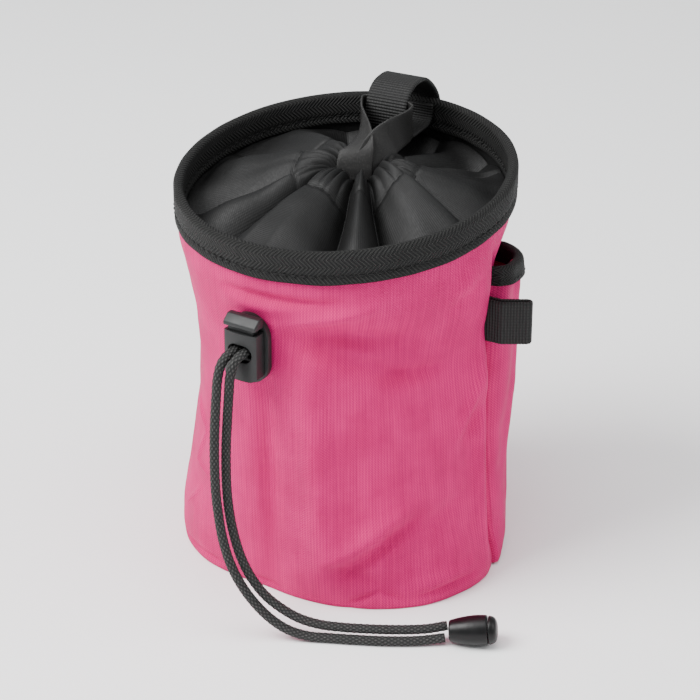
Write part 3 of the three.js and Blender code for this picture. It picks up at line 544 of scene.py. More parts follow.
def herringbone(name, pitch, band):
    """Twill whose ribs turn back at each band, with a painted highlight on the rib crests and painted shade
    in the grooves.
    """
    material, tree, shader = new_material(name, 0.6, specular=0.26)
    u, v = surface_place(tree)
    bands = calc(tree, "PINGPONG", v, band)
    rib = wave(tree, calc(tree, "ADD", u, bands), pitch)
    thread = wave(tree, calc(tree, "SUBTRACT", u, bands), pitch * 0.5)
    grain = noise(tree, joined(tree, u, v), 1500, 2)
    height = times(tree, rib, calc(tree, "MULTIPLY_ADD", thread, 0.6, 0.4))
    # Colour follows the rib height: painted highlight on the crests and painted shade in the grooves,
    # broken up by grain.
    tone = times(tree, calc(tree, "POWER", height, 2.4), limited(tree, grain, 0.3, 0.7, 0.3, 1.0))
    dress(tree, shader, tone, (TAPE_BLACK, TAPE_CREST_HIGHLIGHT), (grain, 0.58, 0.85), height, 0.00040)
    return material


def collar_cloth(name="collar_cloth"):
    material, tree, shader = new_material(name, 0.47, specular=0.30)
    u, v = surface_place(tree)
    weave = times(tree, wave(tree, u, COLLAR_WEAVE), wave(tree, v, COLLAR_WEAVE))
    grain = noise(tree, joined(tree, u, v), 900, 3)
    tone = calc(tree, "MULTIPLY_ADD", weave, 0.35, times(tree, grain, 0.7))
    dress(tree, shader, tone, (CHARCOAL, lighter(CHARCOAL, 1.7)), (grain, 0.50, 0.62),
          calc(tree, "ADD", weave, grain), 0.00006)
    return material


def webbing_cloth():
    material, tree, shader = new_material("webbing_cloth", 0.62, specular=0.3)
    u, v = surface_place(tree)
    rib = calc(tree, "POWER", wave(tree, u, WEBBING_RIB), 0.7)
    warp = wave(tree, v, WEBBING_WARP)
    grain = noise(tree, joined(tree, u, v), 1600, 2)
    height = times(tree, rib, calc(tree, "MULTIPLY_ADD", warp, 0.35, 0.65))
    # Colour follows the rib height: painted highlight on the crests and painted shade in the grooves,
    # broken up by grain.
    tone = times(tree, calc(tree, "POWER", height, 2.0), limited(tree, grain, 0.3, 0.7, 0.35, 1.0))
    dress(tree, shader, tone, (WEBBING_BLACK, WEBBING_CREST_HIGHLIGHT), (grain, 0.55, 0.8), height, 0.00022)
    return material


def ribbon_cloth():
    material, tree, shader = new_material("ribbon_cloth", 0.45, specular=0.36)
    u, v = surface_place(tree)
    twill = wave(tree, calc(tree, "MULTIPLY_ADD", u, 1.6, v), RIBBON_TWILL)
    grain = noise(tree, joined(tree, times(tree, u, 0.6), v), 2100, 2)
    fleck_and_crest_highlight = limited(tree, grain, 0.5, 0.68)
    tone = calc(tree, "MULTIPLY_ADD", fleck_and_crest_highlight, 0.7, times(tree, twill, 0.2))
    dress(tree, shader, tone, (RIBBON_GREY, RIBBON_LIGHT), (grain, 0.36, 0.55),
          calc(tree, "ADD", twill, grain), 0.00008)
    return material


def moulded_plastic():
    material, tree, shader = new_material("moulded_plastic", 0.46, specular=0.38)
    where = solid_place(tree)
    cloud = noise(tree, where, 160, 3)
    dress(tree, shader, cloud, (PLASTIC_GREY, lighter(PLASTIC_GREY, 1.5)), (cloud, 0.40, 0.54),
          noise(tree, where, 2600, 2), 0.00004)
    return material


def braided_cord():
    """Painted highlights on the crests of the plaits that make_cord shapes, as pale flecks."""
    material, tree, shader = new_material("braided_cord", 0.5, specular=0.4)
    u, v = surface_place(tree)
    around = times(tree, v, PLAITS / (math.pi * CORD_DIAMETER))
    along = calc(tree, "MULTIPLY_ADD", u, 1 / PLAIT_LENGTH, -0.25)
    one_way = wave(tree, calc(tree, "ADD", along, around), 1.0)
    other_way = wave(tree, calc(tree, "SUBTRACT", around, calc(tree, "ADD", along, 0.5)), 1.0)
    fibre = wave(tree, calc(tree, "ADD", u, v), CORD_FIBRE)
    grain = noise(tree, joined(tree, u, v), 1500, 2)
    plait = calc(tree, "POWER", times(tree, one_way, other_way), 1.4)
    # painted highlight on the plait crests, broken up by grain
    fleck_and_crest_highlight = times(tree, plait, limited(tree, grain, 0.35, 0.6, 0.25, 1.0))
    tone = calc(tree, "MULTIPLY_ADD", fleck_and_crest_highlight, 0.85, times(tree, fibre, 0.05))
    dress(tree, shader, tone, (CORD_BLACK, CORD_CREST_HIGHLIGHT), (grain, 0.42, 0.68),
          calc(tree, "ADD", fibre, grain), 0.00006)
    return material


def polished_plastic():
    material, tree, shader = new_material("polished_plastic", 0.36, specular=0.28)
    where = solid_place(tree)
    haze = noise(tree, where, 240, 3)
    dress(tree, shader, haze, (BELL_BLACK, lighter(BELL_BLACK, 2.0)), (haze, 0.30, 0.42),
          noise(tree, where, 900, 2), 0.00002)
    return material


def sewing_thread():
    material, tree, shader = new_material("sewing_thread", 0.6, specular=0.3)
    u, v = surface_place(tree)
    twist = wave(tree, calc(tree, "ADD", u, v), THREAD_TWIST)
    colours = (THREAD_BLACK, lighter(THREAD_BLACK, 2.5))
    dress(tree, shader, twist, colours, height=twist, depth=0.00005)
    return material


def floor_paper():
    material, tree, shader = new_material("floor_paper", 0.7, specular=0.25)
    cloud = noise(tree, solid_place(tree), 2.5, 2)
    dress(tree, shader, cloud, (FLOOR_GREY, lighter(FLOOR_GREY, 1.03)))
    return material


# The cloth wall of the model, read as a smooth field

FIELD_COLUMNS = 360
FIELD_ROWS = 140


def blurred(field, columns, rows):
    def kernel(sigma):
        reach = int(math.ceil(3 * sigma))
        k = np.exp(-0.5 * (np.arange(-reach, reach + 1) / sigma) ** 2)
        return k / k.sum(), reach
    k, reach = kernel(columns)
    field = sum(w * np.roll(field, i - reach, axis=0) for i, w in enumerate(k))
    k, reach = kernel(rows)
    padded = np.pad(field, ((0, 0), (reach, reach)), mode="reflect", reflect_type="odd")
    return sum(w * padded[:, i:i + field.shape[1]] for i, w in enumerate(k))


def read_cloth():
    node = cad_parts["body_shell"].data
    tree = BVHTree.FromPolygons([v.co for v in node.vertices], [p.vertices for p in node.polygons])
    field = np.zeros((FIELD_COLUMNS, FIELD_ROWS))
    for c in range(FIELD_COLUMNS):
        angle = c * 360 / FIELD_COLUMNS
        out = Vector(place(angle, 1.0, 0.0))
        for r in range(FIELD_ROWS):
            level = 0.002 + 0.996 * r / (FIELD_ROWS - 1)
            start = out * 0.2 + Vector((0, 0, level * float(cloth_top(angle))))
            hit = tree.ray_cast(start, -out)[0]
            field[c, r] = math.hypot(hit.x, hit.y)
    return blurred(field, 2.2, 2.6)


CLOTH_FIELD = read_cloth()


def cloth_radius(angle, level):
    """Radius of the model's cloth, smooth between its facets."""
    c = np.mod(angle, 360) * FIELD_COLUMNS / 360
    r = np.clip(level, 0, 1) * (FIELD_ROWS - 1)
    c0 = np.floor(c).astype(int)
    r0 = np.minimum(np.floor(r).astype(int), FIELD_ROWS - 2)
    a, b = c - c0, r - r0
    c0, c1 = c0 % FIELD_COLUMNS, (c0 + 1) % FIELD_COLUMNS
    low = CLOTH_FIELD[c0, r0] * (1 - a) + CLOTH_FIELD[c1, r0] * a
    high = CLOTH_FIELD[c0, r0 + 1] * (1 - a) + CLOTH_FIELD[c1, r0 + 1] * a
    return low * (1 - b) + high * b


def arc_from(start, angle):
    """Distance round the wall from one angle to others, the short way."""
    return RIM_RADIUS * np.radians(np.mod(angle - start + 180, 360) - 180)


def crease_offset(angle, level):
    total = np.zeros(np.broadcast(angle, level).shape)
    for row in CREASES:
        across = arc_from(row["angle"], angle)
        upward = (level - row["level"]) * RIM_HEIGHT
        line_x = RIM_RADIUS * math.radians(row["to_angle"] - row["angle"])
        line_y = (row["to_level"] - row["level"]) * RIM_HEIGHT
        share = np.clip((across * line_x + upward * line_y) / (line_x**2 + line_y**2), 0, 1)
        away = np.hypot(across - share * line_x, upward - share * line_y)
        fade = np.sin(math.pi * (0.12 + 0.76 * share))
        total = total + row["depth"] * fade * np.exp(-((away / row["width"]) ** 2))
    return total


def seam_dent(angle, level):
    """The cloth pulled in along the front seam of the sleeve, most at its mouth."""
    across = arc_from(SEAM_ANGLE, angle)
    above = np.maximum(np.abs(level - MOUTH_LEVEL) - 0.06, 0) * RIM_HEIGHT
    mouth = np.exp(-((above / 0.009) ** 2))
    run = smoothstep(level, 0.01, 0.12) * (1 - smoothstep(level, 0.8, 0.9))
    shape = np.exp(-(((across - DENT_PLACE) / DENT_WIDTH) ** 2))
    return -(DENT_AT_MOUTH * mouth + DENT_BELOW * run) * shape


def seam_ridge(angle, level):
    shape = np.exp(-(((arc_from(SEAM_ANGLE, angle) - RIDGE_PLACE) / RIDGE_WIDTH) ** 2))
    return through(SEAM_RIDGE, "level", "height", level) * shape


def wall_radius(angle, level):
    """Radius of the cloth with its creases and small unevenness, calm under the rim's tape."""
    x = RIM_RADIUS * np.radians(np.mod(angle, 360))
    z = level * RIM_HEIGHT
    below = rim_top(angle) - BINDING_DEPTH - level * cloth_top(angle)
    free = smoothstep(below, 0.0002, 0.006)
    ripple = 0.00016 * unevenness(x, z, 0.012, 3) + 0.00005 * unevenness(x, z, 0.004, 4)
    pucker = 0.00012 * np.sin(2 * math.pi * x / 0.0068) * smoothstep(-below, -0.012, -0.001)
    offset = crease_offset(angle, level) + seam_dent(angle, level) + seam_ridge(angle, level)
    offset = offset + ripple + pucker
    return cloth_radius(angle, level) + free * offset


# Pieces of cloth

WALL_COLUMNS = 380
WALL_ROWS = 150
LINING_COLUMNS = 180
LINING_ROWS = 76
FOOT_LEVEL = 0.009
HEM_STEP = 0.0005
# Hem under the wall's foot: how far out from the foot, and how high
HEM = [(-0.0016, 0.0012), (-0.0015, 0.0004), (-0.0010, 0.00008), (-0.0005, 0.00005), (-0.0001, 0.0005)]


def make_body(material, lining):
    angle = round_angles(WALL_COLUMNS, SEAM_ANGLE)
    levels = np.linspace(FOOT_LEVEL, 1.0, WALL_ROWS)
    outside = place(angle, wall_radius(angle, levels[None, :]), levels * cloth_top(angle))
    foot = wall_radius(angle, FOOT_LEVEL)
    hem = np.concatenate([place(angle, foot + out, z) for out, z in HEM], 1)
    top = wall_radius(angle, 1.0)
    over = place(angle, top - 0.0009, cloth_top(angle))
    down = place(angle, top - 0.001, cloth_top(angle) - 0.004)
    v = np.r_[-0.003 + HEM_STEP * np.arange(len(HEM)), levels * RIM_HEIGHT, 0.146, 0.15]
    body = grid("body_cloth", np.concatenate([hem, outside, over, down], 1),
                round_uv(WALL_COLUMNS, RIM_RADIUS, v), around=True)
    finish_piece(body, material, "pink_nylon", "body_shell")

    angle = round_angles(LINING_COLUMNS)
    level = np.linspace(0.012, 0.985, LINING_ROWS)[None, :]
    inside = place(angle, wall_radius(angle, level) - CLOTH, level * cloth_top(angle))[:, ::-1]
    uv = round_uv(LINING_COLUMNS, RIM_RADIUS, np.linspace(RIM_HEIGHT, 0, LINING_ROWS))
    inner = grid("body_lining", inside, uv, around=True)
    finish_piece(inner, lining, "grey_nylon")


def make_base(material):
    """Panel inside the foot of the wall, slightly domed, with its edge turned up."""
    angle = round_angles(120)
    foot = cloth_radius(angle, FOOT_LEVEL) - CLOTH - 0.0005
    top_share = np.linspace(0.004, 1, 24)[None, :]
    top = place(angle, foot * top_share, 0.0014 + 0.0005 * (1 - top_share**2))
    low_share = np.linspace(0.985, 0.004, 24)[None, :]
    low = place(angle, foot * low_share, 0.00025 + 0.00035 * (1 - low_share**2))
    points = np.concatenate([top, low], 1)
    across = points[:, :, :2]
    wrapped = np.concatenate([across, across[:1]], 0)
    uv = np.concatenate([wrapped, wrapped[:, :1]], 1)
    base = grid("base_cloth", points, uv, around=True, across=True)
    turn_outward(base)
    finish_piece(base, material, "pink_nylon", "base_panel")


def band_profile(thickness, depth, wall, steps):
    """Section of a tape folded over an edge: out from its outer side, and how far down."""
    half = thickness / 2
    turn = np.linspace(0, math.pi, steps)
    levels = depth - np.array([0.00035, 0.0011, 0.0018, 0.0024, 0.0029, 0.0034, 0.0040, 0.0050])
    levels = [x for x in levels if x > half * 1.3]
    outer = [(0.0, x) for x in levels] + [(0.0, half)]
    bend = [(half - half * math.cos(t), half - half * math.sin(t)) for t in turn[1:-1]]
    inner = [(thickness, half)] + [(thickness, x) for x in levels[::-1]]
    low_in = [(thickness - 0.0002, depth), (thickness - wall, depth), (thickness - wall, depth * 0.5)]
    under = [(thickness - wall, wall + 0.0004), (wall, wall + 0.0004)]
    low_out = [(wall, depth * 0.5), (wall, depth), (0.0002, depth)]
    return np.array(outer + bend + inner + low_in + under + low_out)


def section_length(profile):
    return run_length(np.vstack([profile, profile[:1]]))


def make_rim_binding(material):
    profile = band_profile(BINDING_WIDTH, BINDING_DEPTH, TAPE, 12)
    columns = 540
    angle = round_angles(columns)
    x = RIM_RADIUS * np.radians(angle)
    inset = profile[None, :, 0]
    drop = profile[None, :, 1]
    wavy = 0.00012 * unevenness(x, drop, 0.02, 11) + 0.00007 * unevenness(x, drop, 0.006, 12)
    outward = np.where(inset < BINDING_WIDTH / 2, 1, -1)
    press = -0.00040 * np.exp(-(((drop - BINDING_DEPTH + STITCH_ROW) / 0.0007) ** 2))
    radius = RIM_RADIUS - inset + outward * (wavy + press)
    edge = 0.00012 * unevenness(x, 0 * x, 0.008, 13) * smoothstep(drop, BINDING_DEPTH * 0.8, BINDING_DEPTH)
    points = place(angle, radius, rim_top(angle) - drop + edge)
    uv = round_uv(columns, RIM_RADIUS, section_length(profile))
    piece = grid("rim_tape", points, uv, around=True, across=True)
    turn_outward(piece)
    finish_piece(piece, material, "black_twill", "rim_binding")


def make_stitches(name, line, normal, material, slot, closed=False):
    """A row of stitches along a line, each dipping into the cloth at its ends."""
    if closed:
        line = np.vstack([line, line[:1]])
        normal = np.vstack([normal, normal[:1]])
    length = run_length(line)
    period = STITCH_LENGTH + STITCH_GAP
    count = int(length[-1] / period)
    period = length[-1] / count
    rng = np.random.default_rng(count)
    sides, rings = 6, 7
    points, faces, uv = [], [], []
    for k in range(count):
        start = k * period + STITCH_GAP / 2 + rng.uniform(-0.0001, 0.0001)
        share = np.linspace(0, 1, rings)
        s = start + share * STITCH_LENGTH
        at = at_distances(s, length, line)
        out = at_distances(s, length, normal)
        along = directions(at)
        across = np.cross(along, out)
        arch = np.sin(math.pi * share)
        at = at + out * (0.00018 * arch - 0.00016)[:, None]
        thick = STITCH_WIDTH / 2 * (0.45 + 0.55 * arch**0.5)
        base = len(points)
        for i in range(rings):
            for j in range(sides):
                turn = 2 * math.pi * j / sides
                points.append(at[i] + thick[i] * (across[i] * math.cos(turn) + out[i] * math.sin(turn)))
                uv.append((s[i], j * STITCH_WIDTH / 2))
        for i in range(rings - 1):
            for j in range(sides):
                a = base + i * sides + j
                b = base + i * sides + (j + 1) % sides
                faces.append((a, b, b + sides, a + sides))
        faces.append(tuple(base + j for j in reversed(range(sides))))
        faces.append(tuple(base + (rings - 1) * sides + j for j in range(sides)))
    mesh = bpy.data.meshes.new(name)
    mesh.from_pydata([tuple(p) for p in points], [], faces)
    layer = mesh.uv_layers.new(name="UVMap")
    for loop in mesh.loops:
        layer.data[loop.index].uv = uv[loop.vertex_index]
    mesh.polygons.foreach_set("use_smooth", np.ones(len(mesh.polygons), bool))
    piece = add_object(name, mesh)
    turn_outward(piece)
    return finish_piece(piece, material, slot)


def make_rim_stitches(thread):
    angle = np.arange(0, 360, 0.5)
    z = rim_top(angle) - BINDING_DEPTH + STITCH_ROW
    outward = place(angle, 1.0, 0.0)
    sides = (("rim_stitches_outer", RIM_RADIUS - 0.00030, outward),
             ("rim_stitches_inner", RIM_RADIUS - BINDING_WIDTH + 0.00030, -outward))
    for name, radius, normal in sides:
        make_stitches(name, place(angle, radius, z), normal, thread, "black_twill", closed=True)


def fold_height(angle):
    """Height of the collar's folds: broad crests and sharp valleys."""
    angles = np.array([row["angle"] for row in COLLAR_FOLDS] + [COLLAR_FOLDS[0]["angle"] + 360])
    heights = np.array([row["height"] for row in COLLAR_FOLDS] + [COLLAR_FOLDS[0]["height"]])
    angle = np.mod(angle, 360)
    i = np.clip(np.searchsorted(angles, angle, side="right") - 1, 0, len(angles) - 2)
    u = (angle - angles[i]) / (angles[i + 1] - angles[i])
    low_first = heights[i] < heights[i + 1]
    from_valley = np.where(low_first, u, 1 - u)
    valley = np.where(low_first, heights[i], heights[i + 1])
    crest = np.where(low_first, heights[i + 1], heights[i])
    depth = np.where(valley < -0.6, 1.75, 1.2) * valley
    return depth + (crest - depth) * (1 - (1 - from_valley) ** 1.8)


def hole_edge(angle):
    a = np.radians(angle - HOLE_TURN)
    x = HOLE_LONG * np.sin(a)
    y = -HOLE_SHORT * np.cos(a)
    t = math.radians(HOLE_TURN)
    return np.stack([x * math.cos(t) - y * math.sin(t) + HOLE_X,
                     x * math.sin(t) + y * math.cos(t) + HOLE_Y], -1)


def collar_points(angle, reach):
    """Points of the collar's cloth at angles round the hole and reaches from it."""
    start = hole_edge(angle)
    level = (rim_top(angle) - BINDING_DEPTH - GAP) / cloth_top(angle)
    edge = place(angle, cloth_radius(angle, level) - CLOTH - 1.5 * GAP, 0)[..., :2]
    across = start + (edge - start) * reach[..., None]
    drop = through(COLLAR_PROFILE, "reach", "drop", reach)
    fold = through(COLLAR_PROFILE, "reach", "fold", reach)
    plane = rim_plane(start[..., 1]) * (1 - reach) + rim_top(angle) * reach
    z = plane - drop * BINDING_DEPTH - reach * GAP + fold * COLLAR_FOLD * fold_height(angle)
    under_tape = rim_top(angle) - BINDING_DEPTH - 0.0003
    close = smoothstep(reach, 0.9, 0.985)
    z = np.where(z > under_tape, z * (1 - close) + under_tape * close, z)
    turn = np.radians(angle)
    phase = 38 * turn + 1.3 * np.sin(2 * turn + 0.7) + 0.9 * np.sin(5 * turn + 2.0)
    depth = 0.6 + 0.4 * np.sin(3 * turn + 0.4) * np.sin(7 * turn + 1.1)
    pleat = 1 - 2 * np.abs(np.sin(phase / 2)) ** 0.8
    near = smoothstep(reach, 0.0, 0.05) * (1 - smoothstep(reach, 0.1, 0.34))
    z = z - 0.0013 * depth * near * pleat
    groove = np.exp(-(((reach - COLLAR_STITCH_REACH) / 0.014) ** 2))
    z = z - 0.0008 * groove
    free = smoothstep(reach, 0.15, 0.35)
    z = z + 0.00030 * unevenness(across[..., 0], across[..., 1], 0.009, 21) * free
    along = reach * COLLAR_RUN
    strength = (0.3 + 0.7 * free) * (1 - 0.6 * smoothstep(reach, 0.5, 0.9))
    z = z + 0.00022 * unevenness(turn * COLLAR_MIDDLE, along * 0.3, 0.0035, 22) * strength
    return np.concatenate([across, z[..., None]], -1)


def make_collar(material, thread):
    columns, rows = 620, 78
    reaches = np.linspace(0, 1, rows) ** 1.25
    points = collar_points(*np.broadcast_arrays(round_angles(columns), reaches))
    tuck = points[:, :1] + np.array([0, 0, -0.003])
    points = np.concatenate([tuck, points], 1)
    uv = round_uv(columns, COLLAR_MIDDLE, np.r_[-0.003, reaches * COLLAR_RUN])
    collar = grid("collar_cloth_piece", points, uv, around=True)
    finish_piece(collar, material, "grey_nylon", "collar")
    ring = np.arange(0, 360, 0.5)
    line = collar_points(ring, np.full(ring.shape, COLLAR_STITCH_REACH))
    up = np.tile([0.0, 0.0, 1.0], (len(ring), 1))
    seam = make_stitches("collar_stitches", line, up, thread, "grey_nylon", closed=True)


# The sleeve and its bound mouth

def sleeve_place(share, z, out):
    angle = SEAM_ANGLE + share * SLEEVE_SPAN
    level = z / cloth_top(angle)
    arch = np.sin(math.pi * np.clip(share, 0, 1))
    lift = SLEEVE_DEPTH * through(SLEEVE_LIFT, "level", "lift", level) * arch
    seated = (SLEEVE_SEAT + CLOTH) * smoothstep(arch, 0.0, 0.22) + 0.00025
    tucked = -0.0012 * (1 - smoothstep(arch, 0.0, 0.09))
    dent = seam_dent(angle, level) * (1 - smoothstep(share, 0.2, 0.7))
    return place(angle, cloth_radius(angle, level) + dent + seated + tucked + lift + out, z)


def sleeve_lip(share):
    return SLEEVE_LIP - SLEEVE_LIP_FALL * share


def make_sleeve(material):
    columns, rows = 110, 170
    share = np.linspace(0.0, 1.0, columns)[:, None]
    top = sleeve_lip(share) - 0.0015
    height = SLEEVE_FOOT * 0.5 + (top - SLEEVE_FOOT * 0.5) * np.linspace(0, 1, rows)[None, :]
    x = RIM_RADIUS * np.radians(share * SLEEVE_SPAN)
    inner = smoothstep(np.sin(math.pi * share), 0.05, 0.4)
    wrinkle = 0.00025 * unevenness(x, height * 0.35, 0.007, 31) + 0.00012 * unevenness(x, height, 0.006, 32)
    valley = -0.0011 * np.exp(-(((share - 0.42) / 0.1) ** 2)) * smoothstep(height, 0.03, 0.09)
    outside = sleeve_place(share, height, inner * (wrinkle + valley))
    inside = sleeve_place(share, height, inner * (wrinkle + valley) - 0.0009 * inner - 0.0001)[:, ::-1]
    points = np.concatenate([outside, inside], 1)
    v = np.concatenate([height, height[:, ::-1]], 1)
    uv = np.stack([np.broadcast_to(x, v.shape), v], -1)
    uv = np.concatenate([uv, uv[:, :1]], 1)
    piece = grid("sleeve_cloth", points, uv, across=True)
    turn_outward(piece)
    finish_piece(piece, material, "pink_nylon", "brush_sleeve")


def make_sleeve_binding(material, thread):
    wide = CLOTH + 2 * SLEEVE_SEAT + 2 * MOUTH_TAPE
    profile = band_profile(wide, MOUTH_DEPTH, MOUTH_TAPE, 8)
    share = np.linspace(0.012, 0.988, 120)[:, None]
    taper = smoothstep(np.sin(math.pi * share), 0.02, 0.2)
    out = (CLOTH / 2 + wide / 2 - 0.0006 - profile[None, :, 0]) * taper - 0.0006 * (1 - taper)
    drop = profile[None, :, 1]
    x = RIM_RADIUS * np.radians(share * SLEEVE_SPAN)
    wavy = 0.00012 * unevenness(x, drop, 0.006, 41)
    points = sleeve_place(share, sleeve_lip(share) - drop, out + wavy)
    uv = np.stack(np.broadcast_arrays(x, section_length(profile)[None, :]), -1)
    piece = grid("sleeve_tape", points, uv, across=True)
    turn_outward(piece)
    finish_piece(piece, material, "black_twill", "sleeve_binding")
    row = np.linspace(0.04, 0.96, 90)
    line = sleeve_place(row, sleeve_lip(row) - MOUTH_DEPTH + 0.0017, CLOTH / 2 + wide / 2 - 0.00065)
    outward = place(SEAM_ANGLE + row * SLEEVE_SPAN, 1.0, 0.0)
    make_stitches("sleeve_stitches", line, outward, thread, "black_twill")


# Straps

STRAP_STEP = 0.0005
ROUTE_STEP = 0.0004


def facing(angle):
    """Directions at an angle round the bag: outward, and toward growing angles."""
    a = math.radians(angle)
    return np.array([math.sin(a), -math.cos(a), 0.0]), np.array([math.cos(a), math.sin(a), 0.0])


def make_strap(name, middle, side, width, thickness, material, slot, node):
    """Strap with rounded edges along a line, with the direction of its width at each point."""
    middle, side = even_steps(middle, STRAP_STEP, side)
    along = directions(middle)
    side = side - along * np.sum(side * along, 1, keepdims=True)
    side /= np.linalg.norm(side, axis=1, keepdims=True)
    face = np.cross(along, side)
    edge = thickness * 0.45
    across = np.linspace(-1, 1, 15) * (width / 2 - edge)
    turn = np.linspace(-math.pi / 2, math.pi / 2, 6)
    half = thickness / 2
    section = [(a, half) for a in across[:-1]]
    section += [(width / 2 - edge + edge * math.cos(t), half * math.sin(t)) for t in turn[::-1]]
    section += [(a, -half) for a in across[::-1][1:-1]]
    section += [(-(width / 2 - edge) - edge * math.cos(t), half * math.sin(t)) for t in turn[:-1]]
    section = np.array(section)
    length = np.arange(len(middle)) * STRAP_STEP
    notch = 0.00008 * np.sin(2 * math.pi * length / WEBBING_RIB)[:, None]
    wide = section[None, :, 0]
    wide = wide + notch * np.sign(wide) * (np.abs(wide) > width * 0.45)
    points = middle[:, None] + wide[..., None] * side[:, None] + section[None, :, 1:2] * face[:, None]
    v = np.r_[section[:, 0], section[0, 0]]
    uv = np.stack(np.broadcast_arrays(length[:, None], v[None, :]), -1)
    piece = grid(name, points, uv, across=True)
    turn_outward(piece, fill_ends=True)
    finish_piece(piece, material, slot, node)


def make_haul_loop(material):
    out, across = facing(HAUL_ANGLE)
    top = float(rim_top(HAUL_ANGLE))
    route = [out * (HAUL_RADIUS - row["in"] * HAUL_REACH) + [0, 0, top + row["up"] * HAUL_RISE]
             for row in HAUL_ROUTE]
    middle = smooth_curve(route, ROUTE_STEP)
    side = np.tile(-across, (len(middle), 1))
    make_strap("haul_loop_webbing", middle, side, WEBBING, WEBBING_THICKNESS, material,
               "black_webbing", "haul_loop")


def make_ribbon(material):
    out, along_rim = facing(HAUL_ANGLE)
    leg = HAUL_RADIUS - HAUL_REACH
    top = float(rim_top(HAUL_ANGLE))
    lying = facing(HOLE_TURN)[1]
    route, sides = [], []
    half = (len(RIBBON_ROUTE) - 1) / 2
    for k, row in enumerate(RIBBON_ROUTE):
        route.append(out * leg * row["out"] - along_rim * row["across"] * WEBBING
                     + [0, 0, top + row["up"] * HAUL_RISE])
        turn = math.radians(row["turn"])
        first = lying if k < half else -lying
        sides.append(first * math.cos(turn) + np.array([0, 0, math.sin(turn)]))
    middle = smooth_curve(route, ROUTE_STEP)
    share = np.linspace(0, len(route) - 1, len(middle))
    side = at_distances(share, np.arange(len(route)), np.array(sides))
    make_strap("ribbon_strap", middle, side, RIBBON, RIBBON_THICKNESS, material,
               "grey_ribbon", "pull_ribbon")


def make_brush_loop(material):
    out, across = facing(SIDE_LOOP_HEADING)
    half = (SIDE_LOOP_GAP + WEBBING_THICKNESS) / 2
    beside = half + WEBBING_THICKNESS / 2 + GAP
    root = place(SEAM_ANGLE, SIDE_LOOP_ROOT, SIDE_LOOP_HEIGHT) - across * beside
    straight = SIDE_LOOP_REACH - half - WEBBING_THICKNESS / 2
    inward = -place(SEAM_ANGLE, 1.0, 0.0) * SIDE_LOOP_SEWN_IN
    route = [root + inward - across * half, root - across * half]
    for turn in np.radians(np.linspace(-90, 90, 11)):
        route.append(root + out * (straight + half * math.cos(turn)) + across * half * math.sin(turn))
    route += [root + across * half, root + inward + across * half]
    middle = even_steps(np.array(route), 0.0003)
    side = np.tile([0.0, 0.0, 1.0], (len(middle), 1))
    make_strap("side_loop_webbing", middle, side, WEBBING, WEBBING_THICKNESS, material,
               "black_webbing", "brush_loop")


# Cords and the bell on their ends

CORD_STEP = 0.00026


def braid_height(u, v):
    """Relief of a braid at u turns of the plaits round the cord and v plaits along it."""
    p, q = u + v, u - v
    fp, fq = p - np.floor(p) - 0.5, q - np.floor(q) - 0.5
    over = (np.floor(p) + np.floor(q)) % 2 < 0.5
    across = np.where(over, fp, fq)
    along = np.where(over, fq, fp)
    return np.sqrt(np.clip(1 - (2.05 * across) ** 2, 0, 1)) * (1 - 1.6 * along**2)


def make_cord(name, route, material, node):
    middle = smooth_curve(route, CORD_STEP)
    sides, ups = carried_frame(middle, (1.0, 0.2, 0.1))
    count = 56
    turn = np.arange(count) * 2 * math.pi / count
    length = np.arange(len(middle)) * CORD_STEP
    u = np.broadcast_to(PLAITS * turn[None, :] / (2 * math.pi), (len(middle), count))
    v = np.broadcast_to(length[:, None] / PLAIT_LENGTH, u.shape)
    radius = CORD_DIAMETER / 2 - 0.00042 + 0.00046 * braid_height(u, v)
    points = middle[:, None] + radius[..., None] * (
        sides[:, None] * np.cos(turn)[None, :, None] + ups[:, None] * np.sin(turn)[None, :, None])
    around = np.arange(count + 1) * (math.pi * CORD_DIAMETER / count)
    uv = np.stack(np.broadcast_arrays(length[:, None], around[None, :]), -1)
    piece = grid(name, points, uv, across=True)
    turn_outward(piece)
    finish_piece(piece, material, "black_cord", node)


def make_turned(name, profile, material, node):
    """A turned piece along the bell's own line."""
    profile = even_steps(np.array(profile), 0.0003)
    count = 64
    turn = np.arange(count) * 2 * math.pi / count
    heading = math.radians(BELL_HEADING)
    along = np.array([math.cos(heading), math.sin(heading), math.sin(math.radians(BELL_PITCH))])
    along /= np.linalg.norm(along)
    side = np.cross(along, [0, 0, 1.0])
    side /= np.linalg.norm(side)
    up = np.cross(side, along)
    ring = side[None] * np.cos(turn)[:, None] + up[None] * np.sin(turn)[:, None]
    radius = np.maximum(profile[None, :, :1], 1e-5)
    points = np.array(BELL_PLACE) + along * profile[None, :, 1:2] + ring[:, None] * radius
    uv = np.stack(np.broadcast_arrays((np.arange(count + 1) * 0.0005)[:, None], profile[None, :, 1]), -1)
    piece = grid(name, points, uv, around=True)
    turn_outward(piece)
    return finish_piece(piece, material, "gloss_plastic", node)


# The cord lock

